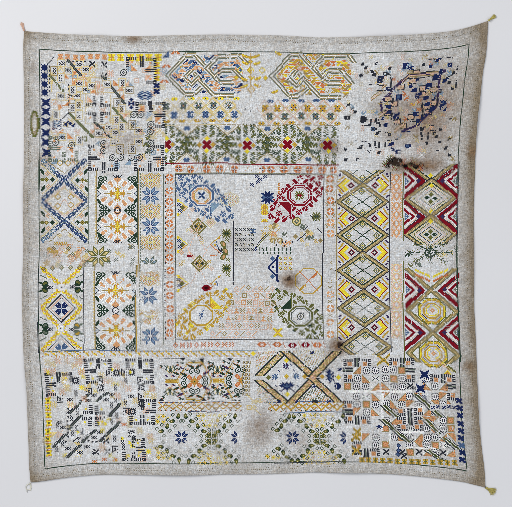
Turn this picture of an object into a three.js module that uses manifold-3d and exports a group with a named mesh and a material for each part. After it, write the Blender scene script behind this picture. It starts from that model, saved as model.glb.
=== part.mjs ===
// Square embroidery sampler: one hemmed linen sheet lying flat, with a silk tassel at three
// corners and a worn thread loop at the fourth. Millimetres, +Z up, +Y to the head of the work.
import * as THREE from 'three';
import { mergeVertices } from 'three/addons/utils/BufferGeometryUtils.js';
import Module from 'manifold-3d';

const wasm = await Module();
wasm.setup();

// Driving dimensions. The sheet is counted in stitches, as the maker counts it.
const STITCH = 1.25;
const CLOTH_WIDTH = 450 * STITCH;
const CLOTH_HEIGHT = 438 * STITCH;
const GROUND_THICKNESS = 1.0;
const HEM_THICKNESS = 1.6;
const HEM_WIDTH = 7.0;
const SEAT_GAP = 0.3;
const FLOOR_CLEARANCE = 0.05;

// The hem's section, from the folded edge inwards: how far in, and the two skins' heights.
const HEM_SECTION = [
  { inward: 0.0, top: 1.0, underside: 0.35 },
  { inward: 1.3, top: HEM_THICKNESS, underside: 0.0 },
  { inward: HEM_WIDTH - 1.0, top: HEM_THICKNESS, underside: 0.0 },
  { inward: HEM_WIDTH, top: GROUND_THICKNESS - 0.25, underside: 0.0 },
  { inward: HEM_WIDTH + 1.3, top: GROUND_THICKNESS, underside: 0.0 },
];
const INNER_STEPS = 24;

// How far each side stands outside its straight line, at stations from 0 to 1 along the side.
// Top and bottom run left to right, left and right run top to bottom.
const TOP_EDGE = [
  { along: 0.0, out: 6.2 },
  { along: 0.04, out: 4.4 },
  { along: 0.1, out: 2.2 },
  { along: 0.17, out: 0.8 },
  { along: 0.24, out: -0.4 },
  { along: 0.31, out: 0.6 },
  { along: 0.43, out: 1.8 },
  { along: 0.5, out: 0.9 },
  { along: 0.57, out: 0.5 },
  { along: 0.64, out: -1.6 },
  { along: 0.7, out: -1.5 },
  { along: 0.77, out: -0.2 },
  { along: 0.83, out: 1.2 },
  { along: 0.88, out: 3.2 },
  { along: 0.93, out: 6.8 },
  { along: 0.965, out: 11.8 },
  { along: 1.0, out: 18.8 },
];
const BOTTOM_EDGE = [
  { along: 0.0, out: 10.6 },
  { along: 0.025, out: 9.2 },
  { along: 0.06, out: 6.4 },
  { along: 0.1, out: 3.6 },
  { along: 0.165, out: 0.9 },
  { along: 0.23, out: 1.3 },
  { along: 0.37, out: 1.8 },
  { along: 0.435, out: 0.6 },
  { along: 0.5, out: 0.5 },
  { along: 0.57, out: -0.6 },
  { along: 0.635, out: -1.9 },
  { along: 0.7, out: -0.9 },
  { along: 0.77, out: -0.6 },
  { along: 0.83, out: 1.6 },
  { along: 0.89, out: 5.1 },
  { along: 0.95, out: 9.8 },
  { along: 0.98, out: 14.0 },
  { along: 1.0, out: 16.9 },
];
const LEFT_EDGE = [
  { along: 0.0, out: -1.0 },
  { along: 0.03, out: 0.3 },
  { along: 0.15, out: -0.6 },
  { along: 0.295, out: -0.4 },
  { along: 0.375, out: 0.6 },
  { along: 0.49, out: 0.3 },
  { along: 0.57, out: 1.9 },
  { along: 0.67, out: 1.0 },
  { along: 0.735, out: -0.6 },
  { along: 0.8, out: -3.8 },
  { along: 0.86, out: -5.0 },
  { along: 0.92, out: -6.3 },
  { along: 0.97, out: -7.3 },
  { along: 1.0, out: -8.8 },
];
const RIGHT_EDGE = [
  { along: 0.0, out: 18.1 },
  { along: 0.03, out: 17.5 },
  { along: 0.07, out: 15.7 },
  { along: 0.108, out: 11.9 },
  { along: 0.17, out: 7.9 },
  { along: 0.2, out: 5.6 },
  { along: 0.27, out: 2.9 },
  { along: 0.335, out: 1.5 },
  { along: 0.4, out: 0.3 },
  { along: 0.535, out: 0.3 },
  { along: 0.6, out: 0.6 },
  { along: 0.67, out: 2.5 },
  { along: 0.735, out: 4.0 },
  { along: 0.8, out: 5.4 },
  { along: 0.86, out: 7.1 },
  { along: 0.92, out: 10.6 },
  { along: 0.96, out: 13.6 },
  { along: 1.0, out: 15.0 },
];
const EDGE_FADE = 2.5;

// Where the cloth cockles up from the table: place across and down the sheet from 0 to 1,
// the height of the rise and how far it reaches, in millimetres.
const COCKLES = [
  { across: 0.16, down: 0.0, height: 1.6, reach: 34 },
  { across: 0.47, down: 0.0, height: 1.2, reach: 40 },
  { across: 0.8, down: 0.01, height: 2.2, reach: 44 },
  { across: 1.0, down: 0.2, height: 1.8, reach: 36 },
  { across: 1.0, down: 0.52, height: 1.2, reach: 42 },
  { across: 0.99, down: 0.83, height: 1.7, reach: 34 },
  { across: 0.72, down: 1.0, height: 1.3, reach: 38 },
  { across: 0.33, down: 1.0, height: 1.5, reach: 44 },
  { across: 0.0, down: 0.78, height: 1.5, reach: 34 },
  { across: 0.0, down: 0.36, height: 1.3, reach: 40 },
  { across: 0.21, down: 0.29, height: 0.8, reach: 46 },
  { across: 0.63, down: 0.27, height: 0.7, reach: 40 },
  { across: 0.4, down: 0.67, height: 0.6, reach: 42 },
  { across: 0.83, down: 0.68, height: 0.9, reach: 44 },
];
const FLAT_BELOW = 0.25;

// A bound neck's outline: shares of its length and of its radius, from the cloth outwards.
const NECK_OUTLINE = [
  { along: 0.0, radius: 0.75 },
  { along: 0.2, radius: 1.0 },
  { along: 0.8, radius: 1.0 },
  { along: 1.0, radius: 0.8 },
];
const NECK_SIDES = 12;

// How the locks of silk lie: their roots as shares of the neck's length and radius, sizes and
// heights as shares of a lock's own width, and how far the outer ones turn, in radians.
const LOCK_ROOT = { alongNeck: 0.6, acrossNeck: 0.45, size: 0.7 };
const LOCK_TIP = { height: 0.75, layerStep: 0.85, layerInset: 0.3, fanTurn: 0.45 };
const LOCK_SHORTER = 0.1;
const LOCK_LENGTHS = 3;

// The three tassels, in millimetres.
const TASSELS = {
  tassel_nw: {
    neckLength: 3.6, neckRadius: 1.3, length: 12.0, halfWidth: 2.3, locks: 4, layers: 2, lock: 1.15,
  },
  tassel_ne: {
    neckLength: 5.0, neckRadius: 1.2, length: 12.5, halfWidth: 2.4, locks: 4, layers: 2, lock: 1.15,
  },
  tassel_se: {
    neckLength: 3.4, neckRadius: 1.5, length: 15.0, halfWidth: 5.4, locks: 8, layers: 2, lock: 1.25,
  },
};

// The worn corner's thread loop, along +X from its bound stub, in millimetres.
const LOOP = { across: 6.4, down: 7.6, thread: 1.1, aside: 0.6, sunk: 0.33 };
const LOOP_STUB = { length: 2.4, overlap: 0.5, radius: 0.88 };
const LOOP_RING_SIDES = 6;
const LOOP_RING_STEPS = 20;
const LOOP_THREADS = [
  { fromX: 8.87, fromY: -0.4, toX: 12.595, toY: 1.6, rootSize: 1.1, tipSize: 0.88 },
  { fromX: 1.44, fromY: 0.9, toX: 8.9, toY: 4.6, rootSize: 1.21, tipSize: 0.88 },
];

// Each corner's place on the sheet and the way its tassel or loop points, in degrees.
const CORNERS = [
  { name: 'tassel_nw', across: 0, down: 0, heading: 109, shade: 0xc9b09a },
  { name: 'tassel_ne', across: 1, down: 0, heading: 36, shade: 0xb5ad6c },
  { name: 'loop_sw', across: 0, down: 1, heading: -118, shade: 0xc8c8bc },
  { name: 'tassel_se', across: 1, down: 1, heading: -27, shade: 0xa8a468 },
];
const LINEN_SHADE = 0xc4beb2;
const CLOTH_ROUGHNESS = 0.9;

// Points closer than this are one point.
const MERGE_WITHIN = 1e-4;

// A smooth curve through a side's table, read at a place along it.
function readEdge(table, along) {
  const last = table.length - 1;
  let k = 0;
  while (k < last - 1 && along > table[k + 1].along) k += 1;
  const slopeAt = (i) => {
    const a = table[Math.max(0, i - 1)];
    const b = table[Math.min(last, i + 1)];
    return (b.out - a.out) / (b.along - a.along);
  };
  const span = table[k + 1].along - table[k].along;
  const f = (along - table[k].along) / span;
  const f2 = f * f;
  const f3 = f2 * f;
  return (
    table[k].out * (2 * f3 - 3 * f2 + 1) +
    table[k + 1].out * (3 * f2 - 2 * f3) +
    span * slopeAt(k) * (f3 - 2 * f2 + f) +
    span * slopeAt(k + 1) * (f3 - f2)
  );
}

// The plan of the sheet: a rectangle whose sides follow the tables, calmer further in.
function planPoint(across, down) {
  const fade = (away) => (1 - away) ** EDGE_FADE;
  const left = readEdge(LEFT_EDGE, down) * fade(across);
  const right = readEdge(RIGHT_EDGE, down) * fade(1 - across);
  const top = readEdge(TOP_EDGE, across) * fade(down);
  const bottom = readEdge(BOTTOM_EDGE, across) * fade(1 - down);
  return new THREE.Vector2(
    (across - 0.5) * CLOTH_WIDTH - left + right,
    (0.5 - down) * CLOTH_HEIGHT + top - bottom,
  );
}

// How high the cloth is lifted off the table at a place.
function cockleLift(across, down) {
  let lift = 0;
  for (const rise of COCKLES) {
    const dx = (across - rise.across) * CLOTH_WIDTH;
    const dy = (down - rise.down) * CLOTH_HEIGHT;
    lift += rise.height * Math.exp(-(dx * dx + dy * dy) / (rise.reach * rise.reach));
  }
  return Math.max(0, lift - FLAT_BELOW);
}

// Stations across a sheet of the given length: close in the hems, even between them.
function stations(length) {
  const near = HEM_SECTION.map((row) => row.inward);
  const first = near[near.length - 1];
  const step = (length - 2 * first) / INNER_STEPS;
  const middle = Array.from({ length: INNER_STEPS - 1 }, (_, i) => first + (i + 1) * step);
  const far = near.map((inward) => length - inward).reverse();
  return [...near, ...middle, ...far].map((place) => place / length);
}

// The height of one skin of the cloth at a distance from the nearest folded edge.
function skinHeight(inward, skin) {
  const last = HEM_SECTION.length - 1;
  if (inward >= HEM_SECTION[last].inward) return HEM_SECTION[last][skin];
  let k = 0;
  while (inward > HEM_SECTION[k + 1].inward) k += 1;
  const a = HEM_SECTION[k];
  const b = HEM_SECTION[k + 1];
  return a[skin] + ((b[skin] - a[skin]) * (inward - a.inward)) / (b.inward - a.inward);
}

// The sheet: a box with a cell for each pair of stations, bent to the plan and the cockles.
function linenSheet() {
  const columns = stations(CLOTH_WIDTH);
  const rows = stations(CLOTH_HEIGHT);
  const sheet = new THREE.BoxGeometry(1, 1, 1, columns.length - 1, rows.length - 1, 1);
  const points = sheet.getAttribute('position');
  for (let i = 0; i < points.count; i += 1) {
    const across = columns[Math.round((points.getX(i) + 0.5) * (columns.length - 1))];
    const down = rows[Math.round((0.5 - points.getY(i)) * (rows.length - 1))];
    const inward = Math.min(
      across * CLOTH_WIDTH,
      (1 - across) * CLOTH_WIDTH,
      down * CLOTH_HEIGHT,
      (1 - down) * CLOTH_HEIGHT,
    );
    const skin = points.getZ(i) > 0 ? 'top' : 'underside';
    const plan = planPoint(across, down);
    points.setXYZ(i, plan.x, plan.y, skinHeight(inward, skin) + cockleLift(across, down));
  }
  return sheet;
}

// Booleans on closed meshes.
function toSolid(geometry) {
  const plain = geometry.clone();
  plain.deleteAttribute('normal');
  plain.deleteAttribute('uv');
  const merged = mergeVertices(plain, MERGE_WITHIN);
  return new wasm.Manifold(
    new wasm.Mesh({
      numProp: 3,
      vertProperties: new Float32Array(merged.getAttribute('position').array),
      triVerts: new Uint32Array(merged.index.array),
    }),
  );
}

function toGeometry(solid) {
  const mesh = solid.getMesh();
  const geometry = new THREE.BufferGeometry();
  geometry.setAttribute('position', new THREE.BufferAttribute(mesh.vertProperties, mesh.numProp));
  geometry.setIndex(new THREE.BufferAttribute(mesh.triVerts, 1));
  geometry.computeVertexNormals();
  return geometry;
}

function fuse(geometries) {
  return toGeometry(geometries.map(toSolid).reduce((whole, piece) => whole.add(piece)));
}

// A bound neck: a short barrel of wound thread lying along +X, resting near the table.
function boundNeck(length, radius) {
  const outline = NECK_OUTLINE.map(
    (row) => new THREE.Vector2(radius * row.radius, length * row.along),
  );
  const profile = [new THREE.Vector2(0, 0), ...outline, new THREE.Vector2(0, length)];
  const neck = new THREE.LatheGeometry(profile, NECK_SIDES);
  neck.rotateZ(-Math.PI / 2);
  neck.translate(0, 0, radius + FLOOR_CLEARANCE);
  return neck;
}

// One lock of silk, four-sided, from its root to its tip, thicker towards the tip.
function lock(root, tip, rootSize, tipSize) {
  const run = new THREE.Vector3().subVectors(tip, root);
  const silk = new THREE.CylinderGeometry(tipSize / 2, rootSize / 2, run.length(), 4, 1);
  silk.rotateY(Math.PI / 4);
  const turn = new THREE.Quaternion().setFromUnitVectors(
    new THREE.Vector3(0, 1, 0),
    run.clone().normalize(),
  );
  silk.applyQuaternion(turn);
  const middle = new THREE.Vector3().addVectors(root, tip).multiplyScalar(0.5);
  silk.translate(middle.x, middle.y, middle.z);
  return silk;
}

// A tassel along +X from the origin: the neck, then locks fanned out in layers.
function tassel(shape) {
  const pieces = [boundNeck(shape.neckLength, shape.neckRadius)];
  const rootX = shape.neckLength * LOCK_ROOT.alongNeck;
  for (let layer = 0; layer < shape.layers; layer += 1) {
    const tipZ = FLOOR_CLEARANCE + shape.lock * (LOCK_TIP.height + layer * LOCK_TIP.layerStep);
    for (let k = 0; k < shape.locks; k += 1) {
      const side = (2 * k) / (shape.locks - 1) - 1;
      const uneven = 1 - LOCK_SHORTER * ((k * 2 + layer) % LOCK_LENGTHS);
      const reach = (shape.length - rootX) * uneven;
      const rootY = side * shape.neckRadius * LOCK_ROOT.acrossNeck;
      const inset = Math.sign(side) * layer * shape.lock * LOCK_TIP.layerInset;
      const tipX = rootX + reach * Math.cos(side * LOCK_TIP.fanTurn);
      const root = new THREE.Vector3(rootX, rootY, shape.neckRadius + FLOOR_CLEARANCE);
      const tip = new THREE.Vector3(tipX, side * shape.halfWidth - inset, tipZ);
      pieces.push(lock(root, tip, shape.lock * LOCK_ROOT.size, shape.lock));
    }
  }
  return fuse(pieces);
}

// The worn corner: a ring of thread on a short bound stub, with two loose tails.
function threadLoop() {
  const radius = LOOP.thread / 2;
  const level = radius + FLOOR_CLEARANCE;
  const acrossRadius = LOOP.across / 2;
  const ring = new THREE.TorusGeometry(
    1, radius / acrossRadius, LOOP_RING_SIDES, LOOP_RING_STEPS,
  );
  ring.scale(LOOP.down / 2, acrossRadius, acrossRadius);
  ring.translate(LOOP_STUB.length + LOOP.down / 2 - LOOP.sunk, LOOP.aside, level);
  const tails = LOOP_THREADS.map((row) => lock(
    new THREE.Vector3(row.fromX, row.fromY, level),
    new THREE.Vector3(row.toX, row.toY, level),
    row.rootSize,
    row.tipSize,
  ));
  const stub = boundNeck(LOOP_STUB.length + LOOP_STUB.overlap, LOOP_STUB.radius);
  return fuse([stub, ring, ...tails]);
}

function named(name, geometry, shade) {
  const material = new THREE.MeshStandardMaterial({
    color: shade, roughness: CLOTH_ROUGHNESS, metalness: 0,
  });
  const mesh = new THREE.Mesh(geometry, material);
  mesh.name = name;
  return mesh;
}

const sampler = new THREE.Group();
sampler.add(named('linen_ground', linenSheet(), LINEN_SHADE));
for (const corner of CORNERS) {
  const geometry = TASSELS[corner.name] ? tassel(TASSELS[corner.name]) : threadLoop();
  const mesh = named(corner.name, geometry, corner.shade);
  const tip = planPoint(corner.across, corner.down);
  const heading = THREE.MathUtils.degToRad(corner.heading);
  mesh.rotation.z = heading;
  mesh.position.set(
    tip.x + Math.cos(heading) * SEAT_GAP,
    tip.y + Math.sin(heading) * SEAT_GAP,
    0,
  );
  sampler.add(mesh);
}

// The origin is the middle of the whole outline, on the table.
const extent = new THREE.Box3().setFromObject(sampler);
const centre = extent.getCenter(new THREE.Vector3());
sampler.position.set(-centre.x, -centre.y, -extent.min.z);
sampler.updateMatrixWorld(true);

export default sampler;
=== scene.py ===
"""Embroidery sampler: a hemmed linen sheet lying flat, covered in counted silk embroidery."""

import math

import bpy
import numpy as np
from bpy.props import FloatProperty, FloatVectorProperty, IntProperty, PointerProperty
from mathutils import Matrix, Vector


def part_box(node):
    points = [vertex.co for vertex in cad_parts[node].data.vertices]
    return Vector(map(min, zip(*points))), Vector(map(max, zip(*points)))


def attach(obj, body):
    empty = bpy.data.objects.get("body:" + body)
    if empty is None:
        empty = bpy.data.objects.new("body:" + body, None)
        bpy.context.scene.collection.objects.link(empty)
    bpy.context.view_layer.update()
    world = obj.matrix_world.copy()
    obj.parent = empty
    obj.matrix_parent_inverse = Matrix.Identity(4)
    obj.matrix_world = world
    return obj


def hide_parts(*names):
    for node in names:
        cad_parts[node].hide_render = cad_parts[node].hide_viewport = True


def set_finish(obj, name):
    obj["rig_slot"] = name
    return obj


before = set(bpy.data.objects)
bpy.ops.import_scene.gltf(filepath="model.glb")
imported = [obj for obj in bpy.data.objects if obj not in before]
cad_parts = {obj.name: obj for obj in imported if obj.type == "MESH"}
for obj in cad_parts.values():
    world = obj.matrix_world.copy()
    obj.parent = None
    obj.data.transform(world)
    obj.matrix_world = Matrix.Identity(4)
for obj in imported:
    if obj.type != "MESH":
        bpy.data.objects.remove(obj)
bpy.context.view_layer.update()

bl_info = {
    "name": "Embroidery Sampler",
    "version": (1, 0, 0),
    "blender": (4, 5, 0),
    "location": "3D View > Sidebar > Sampler",
    "description": "Makes a hemmed linen sampler with counted silk embroidery and corner tassels",
    "category": "Object",
}

MM = 0.001

# The counting grid: one square a stitch, laid over the whole table, 512 across and 507 down.
# Places on it are the squares from its upper left corner. The cloth's own rectangle starts at
# CLOTH_LEFT and CLOTH_TOP on it.
GRID_ACROSS, GRID_DOWN = 512, 507
CLOTH_LEFT, CLOTH_TOP = 23.5, 36.0
CLOTH_ACROSS, CLOTH_DOWN = 450, 438
STITCH = 1.25 * MM
CLOTH_WIDTH = CLOTH_ACROSS * STITCH
CLOTH_LENGTH = CLOTH_DOWN * STITCH
GROUND_THICKNESS = 1.0 * MM
HEM_THICKNESS = 1.6 * MM
HEM_WIDTH = 7.0 * MM

# How far each side stands outside its straight line, in millimetres, at stations from 0 to 1.
# Top and bottom run left to right, left and right run top to bottom.
TOP_EDGE = (
    (0, 6.2), (0.04, 4.4), (0.1, 2.2), (0.17, 0.8), (0.24, -0.4), (0.31, 0.6), (0.43, 1.8),
    (0.5, 0.9), (0.57, 0.5), (0.64, -1.6), (0.7, -1.5), (0.77, -0.2), (0.83, 1.2), (0.88, 3.2),
    (0.93, 6.8), (0.965, 11.8), (1, 18.8),
)
BOTTOM_EDGE = (
    (0, 10.6), (0.025, 9.2), (0.06, 6.4), (0.1, 3.6), (0.165, 0.9), (0.23, 1.3), (0.37, 1.8),
    (0.435, 0.6), (0.5, 0.5), (0.57, -0.6), (0.635, -1.9), (0.7, -0.9), (0.77, -0.6), (0.83, 1.6),
    (0.89, 5.1), (0.95, 9.8), (0.98, 14.0), (1, 16.9),
)
LEFT_EDGE = (
    (0, -1.0), (0.03, 0.3), (0.15, -0.6), (0.295, -0.4), (0.375, 0.6), (0.49, 0.3), (0.57, 1.9),
    (0.67, 1.0), (0.735, -0.6), (0.8, -3.8), (0.86, -5.0), (0.92, -6.3), (0.97, -7.3), (1, -8.8),
)
RIGHT_EDGE = (
    (0, 18.1), (0.03, 17.5), (0.07, 15.7), (0.108, 11.9), (0.17, 7.9), (0.2, 5.6), (0.27, 2.9),
    (0.335, 1.5), (0.4, 0.3), (0.535, 0.3), (0.6, 0.6), (0.67, 2.5), (0.735, 4.0), (0.8, 5.4),
    (0.86, 7.1), (0.92, 10.6), (0.96, 13.6), (1, 15.0),
)
EDGE_FADE = 2.5

# Where the cloth cockles up: across and down from 0 to 1, the rise and its reach in millimetres.
COCKLES = (
    (0.16, 0.0, 1.6, 34), (0.47, 0.0, 1.2, 40), (0.8, 0.01, 2.2, 44), (1.0, 0.2, 1.8, 36),
    (1.0, 0.52, 1.2, 42), (0.99, 0.83, 1.7, 34), (0.72, 1.0, 1.3, 38), (0.33, 1.0, 1.5, 44),
    (0.0, 0.78, 1.5, 34), (0.0, 0.36, 1.3, 40), (0.21, 0.29, 0.8, 46), (0.63, 0.27, 0.7, 40),
    (0.4, 0.67, 0.6, 42), (0.83, 0.68, 0.9, 44),
)
FLAT_BELOW = 0.25
# Shallow waves all over the cloth: cycles across, cycles down, phase, height in millimetres.
RIPPLES = (
    (9.0, 2.0, 0.4, 0.07), (3.0, 11.0, 1.9, 0.07), (17.0, 7.0, 2.6, 0.05), (6.0, 19.0, 4.1, 0.05),
)


# Places on the cloth


def read_edge(table, along):
    """A smooth curve through a side's table, read at places along it."""
    at = np.array([row[0] for row in table], float)
    out = np.array([row[1] for row in table], float)
    ends = np.minimum(np.arange(len(at)) + 1, len(at) - 1)
    starts = np.maximum(np.arange(len(at)) - 1, 0)
    slope = (out[ends] - out[starts]) / (at[ends] - at[starts])
    k = np.clip(np.searchsorted(at, along, side="left") - 1, 0, len(at) - 2)
    span = at[k + 1] - at[k]
    f = (along - at[k]) / span
    f2, f3 = f * f, f * f * f
    rise = out[k] * (2 * f3 - 3 * f2 + 1) + out[k + 1] * (3 * f2 - 2 * f3)
    return rise + span * (slope[k] * (f3 - 2 * f2 + f) + slope[k + 1] * (f3 - f2))


def plan_point(across, down):
    """Where a place of the cloth lies on the table, in metres from the cloth's own middle."""

    def pulled(table, along, away):
        side = MM * read_edge(table, np.clip(along, 0, 1))
        return side * (1 - np.clip(away, 0, 1)) ** EDGE_FADE

    left, right = pulled(LEFT_EDGE, down, across), pulled(RIGHT_EDGE, down, 1 - across)
    top, bottom = pulled(TOP_EDGE, across, down), pulled(BOTTOM_EDGE, across, 1 - down)
    x = (across - 0.5) * CLOTH_WIDTH - left + right
    y = (0.5 - down) * CLOTH_LENGTH + top - bottom
    return x, y


def cloth_offset():
    """From the cloth's own middle to the frame's origin, by the corner that reaches furthest."""
    corner_x, corner_y = plan_point(np.array([1.0]), np.array([0.0]))
    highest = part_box("linen_ground")[1]
    return highest.x - float(corner_x[0]), highest.y - float(corner_y[0])


OFFSET_X, OFFSET_Y = cloth_offset()


def cloth_lift(across, down):
    """How high the cloth is lifted off the table by its cockles."""
    total = np.full(np.shape(across), -FLAT_BELOW)
    for place_across, place_down, height, reach in COCKLES:
        dx = (across - place_across) * CLOTH_WIDTH / MM
        dy = (down - place_down) * CLOTH_LENGTH / MM
        total = total + height * np.exp(-(dx * dx + dy * dy) / (reach * reach))
    return np.maximum(0, total) * MM


def ripple(across, down):
    """The shallow unevenness of the upper face."""
    total = np.zeros(np.shape(across))
    for cycles_across, cycles_down, phase, height in RIPPLES:
        turn = 2 * math.pi * (cycles_across * across + cycles_down * down) + phase
        total = total + height * (1 + np.sin(turn)) / 2
    return total * MM


def surface_points(across, down, height):
    """Points at a height above the cloth's upper face, in the frame, as an array of rows."""
    x, y = plan_point(across, down)
    z = GROUND_THICKNESS + cloth_lift(across, down) + ripple(across, down) + height
    return np.stack([x + OFFSET_X, y + OFFSET_Y, z], axis=-1)


def grid_to_cloth(column, row):
    """Squares of the chart as parts across and down the cloth."""
    return (column - CLOTH_LEFT) / CLOTH_ACROSS, (row - CLOTH_TOP) / CLOTH_DOWN


def table_place(column, row):
    """A square of the table grid in metres from the cloth's own middle."""
    x = (column - CLOTH_LEFT - CLOTH_ACROSS / 2) * STITCH
    y = (CLOTH_TOP + CLOTH_DOWN / 2 - row) * STITCH
    return x, y


def on_chart(column, row):
    """The chart's square that comes to lie at a square of the table grid.

    The cloth is pulled out of true towards its edges, so the two part there by a few stitches."""
    want_x, want_y = table_place(column, row)
    across, down = grid_to_cloth(np.array([float(column)]), np.array([float(row)]))
    for _ in range(4):
        x, y = plan_point(across, down)
        across = across + (want_x - x) / CLOTH_WIDTH
        down = down - (want_y - y) / CLOTH_LENGTH
    return CLOTH_LEFT + float(across[0]) * CLOTH_ACROSS, CLOTH_TOP + float(down[0]) * CLOTH_DOWN


# Settings


def srgb(red, green, blue):
    """A colour given in the usual 0 to 255, as Blender's linear one."""
    parts = (channel / 255 for channel in (red, green, blue))
    return tuple(c / 12.92 if c <= 0.04045 else ((c + 0.055) / 1.055) ** 2.4 for c in parts)


def colour_setting(name, description, colour):
    return FloatVectorProperty(
        name=name, description=description, subtype="COLOR", size=3, min=0, max=1, default=colour
    )


def length_setting(name, description, millimetres):
    return FloatProperty(
        name=name,
        description=description,
        default=millimetres * MM,
        min=0,
        subtype="DISTANCE",
        unit="LENGTH",
        precision=5,
    )


class SamplerSizes(bpy.types.PropertyGroup):
    """Sizes of the threads and of the cloth's unevenness."""

    floss_width: length_setting("Floss width", "Width of one strand of a cross stitch", 1.0)
    floss_height: length_setting("Floss height", "How proud a crossing of two strands is", 0.24)
    fine_width: length_setting("Fine width", "Width of the thread of the thin lines", 0.66)
    hem_pitch: length_setting("Hem stitch pitch", "From one hem stitch to the next", 2.4)
    unevenness: FloatProperty(
        name="Unevenness",
        description="How far stitches vary in place and width, as a part of a stitch",
        default=0.12,
        min=0,
        max=0.4,
    )
    tassel_strands: IntProperty(
        name="Tassel strands", description="Strands in each corner tassel", default=64, min=8
    )


class SamplerColours(bpy.types.PropertyGroup):
    """Colours of the cloth and of the silks."""

    linen: colour_setting("Linen", "Washed linen between the motifs", srgb(230, 236, 241))
    flax: colour_setting("Flax", "Warmer threads among the linen's", srgb(206, 186, 160))
    linen_aged: colour_setting("Aged linen", "Linen browned at the margins", srgb(142, 128, 108))
    stain: colour_setting("Stain", "Old brown stains", srgb(122, 90, 56))
    scorch: colour_setting("Scorch", "Darkest spots", srgb(46, 30, 20))
    hem_thread: colour_setting("Hem thread", "Thread of the hem stitches", srgb(104, 92, 66))
    navy: colour_setting("Navy", "Indigo silk, deepest", srgb(24, 38, 84))
    slate: colour_setting("Slate blue", "Indigo silk, middle", srgb(74, 98, 134))
    sky: colour_setting("Pale blue", "Indigo silk, palest", srgb(130, 156, 178))
    forest: colour_setting("Dark green", "Deep green silk", srgb(34, 56, 42))
    sage: colour_setting("Sage", "Grey green silk", srgb(98, 108, 96))
    olive: colour_setting("Olive", "Olive silk", srgb(98, 100, 52))
    yellow: colour_setting("Yellow", "Bright yellow silk", srgb(226, 206, 56))
    gold: colour_setting("Gold", "Old gold silk", srgb(186, 150, 60))
    straw: colour_setting("Straw", "Palest yellow silk", srgb(210, 190, 132))
    apricot: colour_setting("Apricot", "Faded orange silk", srgb(206, 154, 110))
    orange: colour_setting("Orange", "Orange red silk", srgb(192, 114, 70))
    pink: colour_setting("Pink", "Faded pink silk", srgb(214, 178, 156))
    crimson: colour_setting("Crimson", "Cochineal silk", srgb(122, 10, 28))
    tan: colour_setting("Tan", "Tan silk", srgb(150, 132, 90))
    white: colour_setting("White", "White silk", srgb(232, 232, 230))
    soot: colour_setting("Soot", "Brown black silk", srgb(42, 45, 54))
    violet: colour_setting("Violet", "Dull violet silk", srgb(58, 46, 84))
    rose: colour_setting("Rose tassel", "Silk of the upper left tassel", srgb(206, 170, 150))
    brass: colour_setting("Gold tassels", "Silk of the right-hand tassels", srgb(176, 164, 96))
    cotton: colour_setting("White loop", "Thread of the worn corner", srgb(214, 212, 198))


# Letters that the charts use for the silks.
SILKS = {
    "N": "navy", "B": "slate", "b": "sky", "G": "forest", "g": "sage", "O": "olive",
    "Y": "yellow", "y": "gold", "s": "straw", "a": "apricot", "o": "orange", "p": "pink",
    "C": "crimson", "t": "tan", "w": "white", "k": "soot", "v": "violet",
}
LETTERS = "." + "".join(SILKS)


# Material helpers

# The silk's fibres and the threads of the weave, in metres.
FIBRE_SIZE = 0.18 * MM
FIBRE_RELIEF = 0.2 * MM
FLOSS_BUMP = 0.2
WEAVE_RELIEF = 0.25 * MM
WEAVE_BUMP = 0.5


def new_material(name):
    """An empty material with its Principled shader, tree and output."""
    material = bpy.data.materials.new(name)
    material.use_nodes = True
    tree = material.node_tree
    tree.nodes.clear()
    output = tree.nodes.new("ShaderNodeOutputMaterial")
    shader = tree.nodes.new("ShaderNodeBsdfPrincipled")
    tree.links.new(shader.outputs["BSDF"], output.inputs["Surface"])
    return material, tree, shader


def new_group(name, inputs, outputs):
    """A shader node group with named sockets, each given as (name, kind, default)."""
    group = bpy.data.node_groups.new(name, "ShaderNodeTree")
    for label, kind, default in inputs:
        socket = group.interface.new_socket(name=label, in_out="INPUT", socket_type=kind)
        if default is not None:
            socket.default_value = default
    for label, kind in outputs:
        group.interface.new_socket(name=label, in_out="OUTPUT", socket_type=kind)
    return group, group.nodes.new("NodeGroupInput"), group.nodes.new("NodeGroupOutput")


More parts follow.
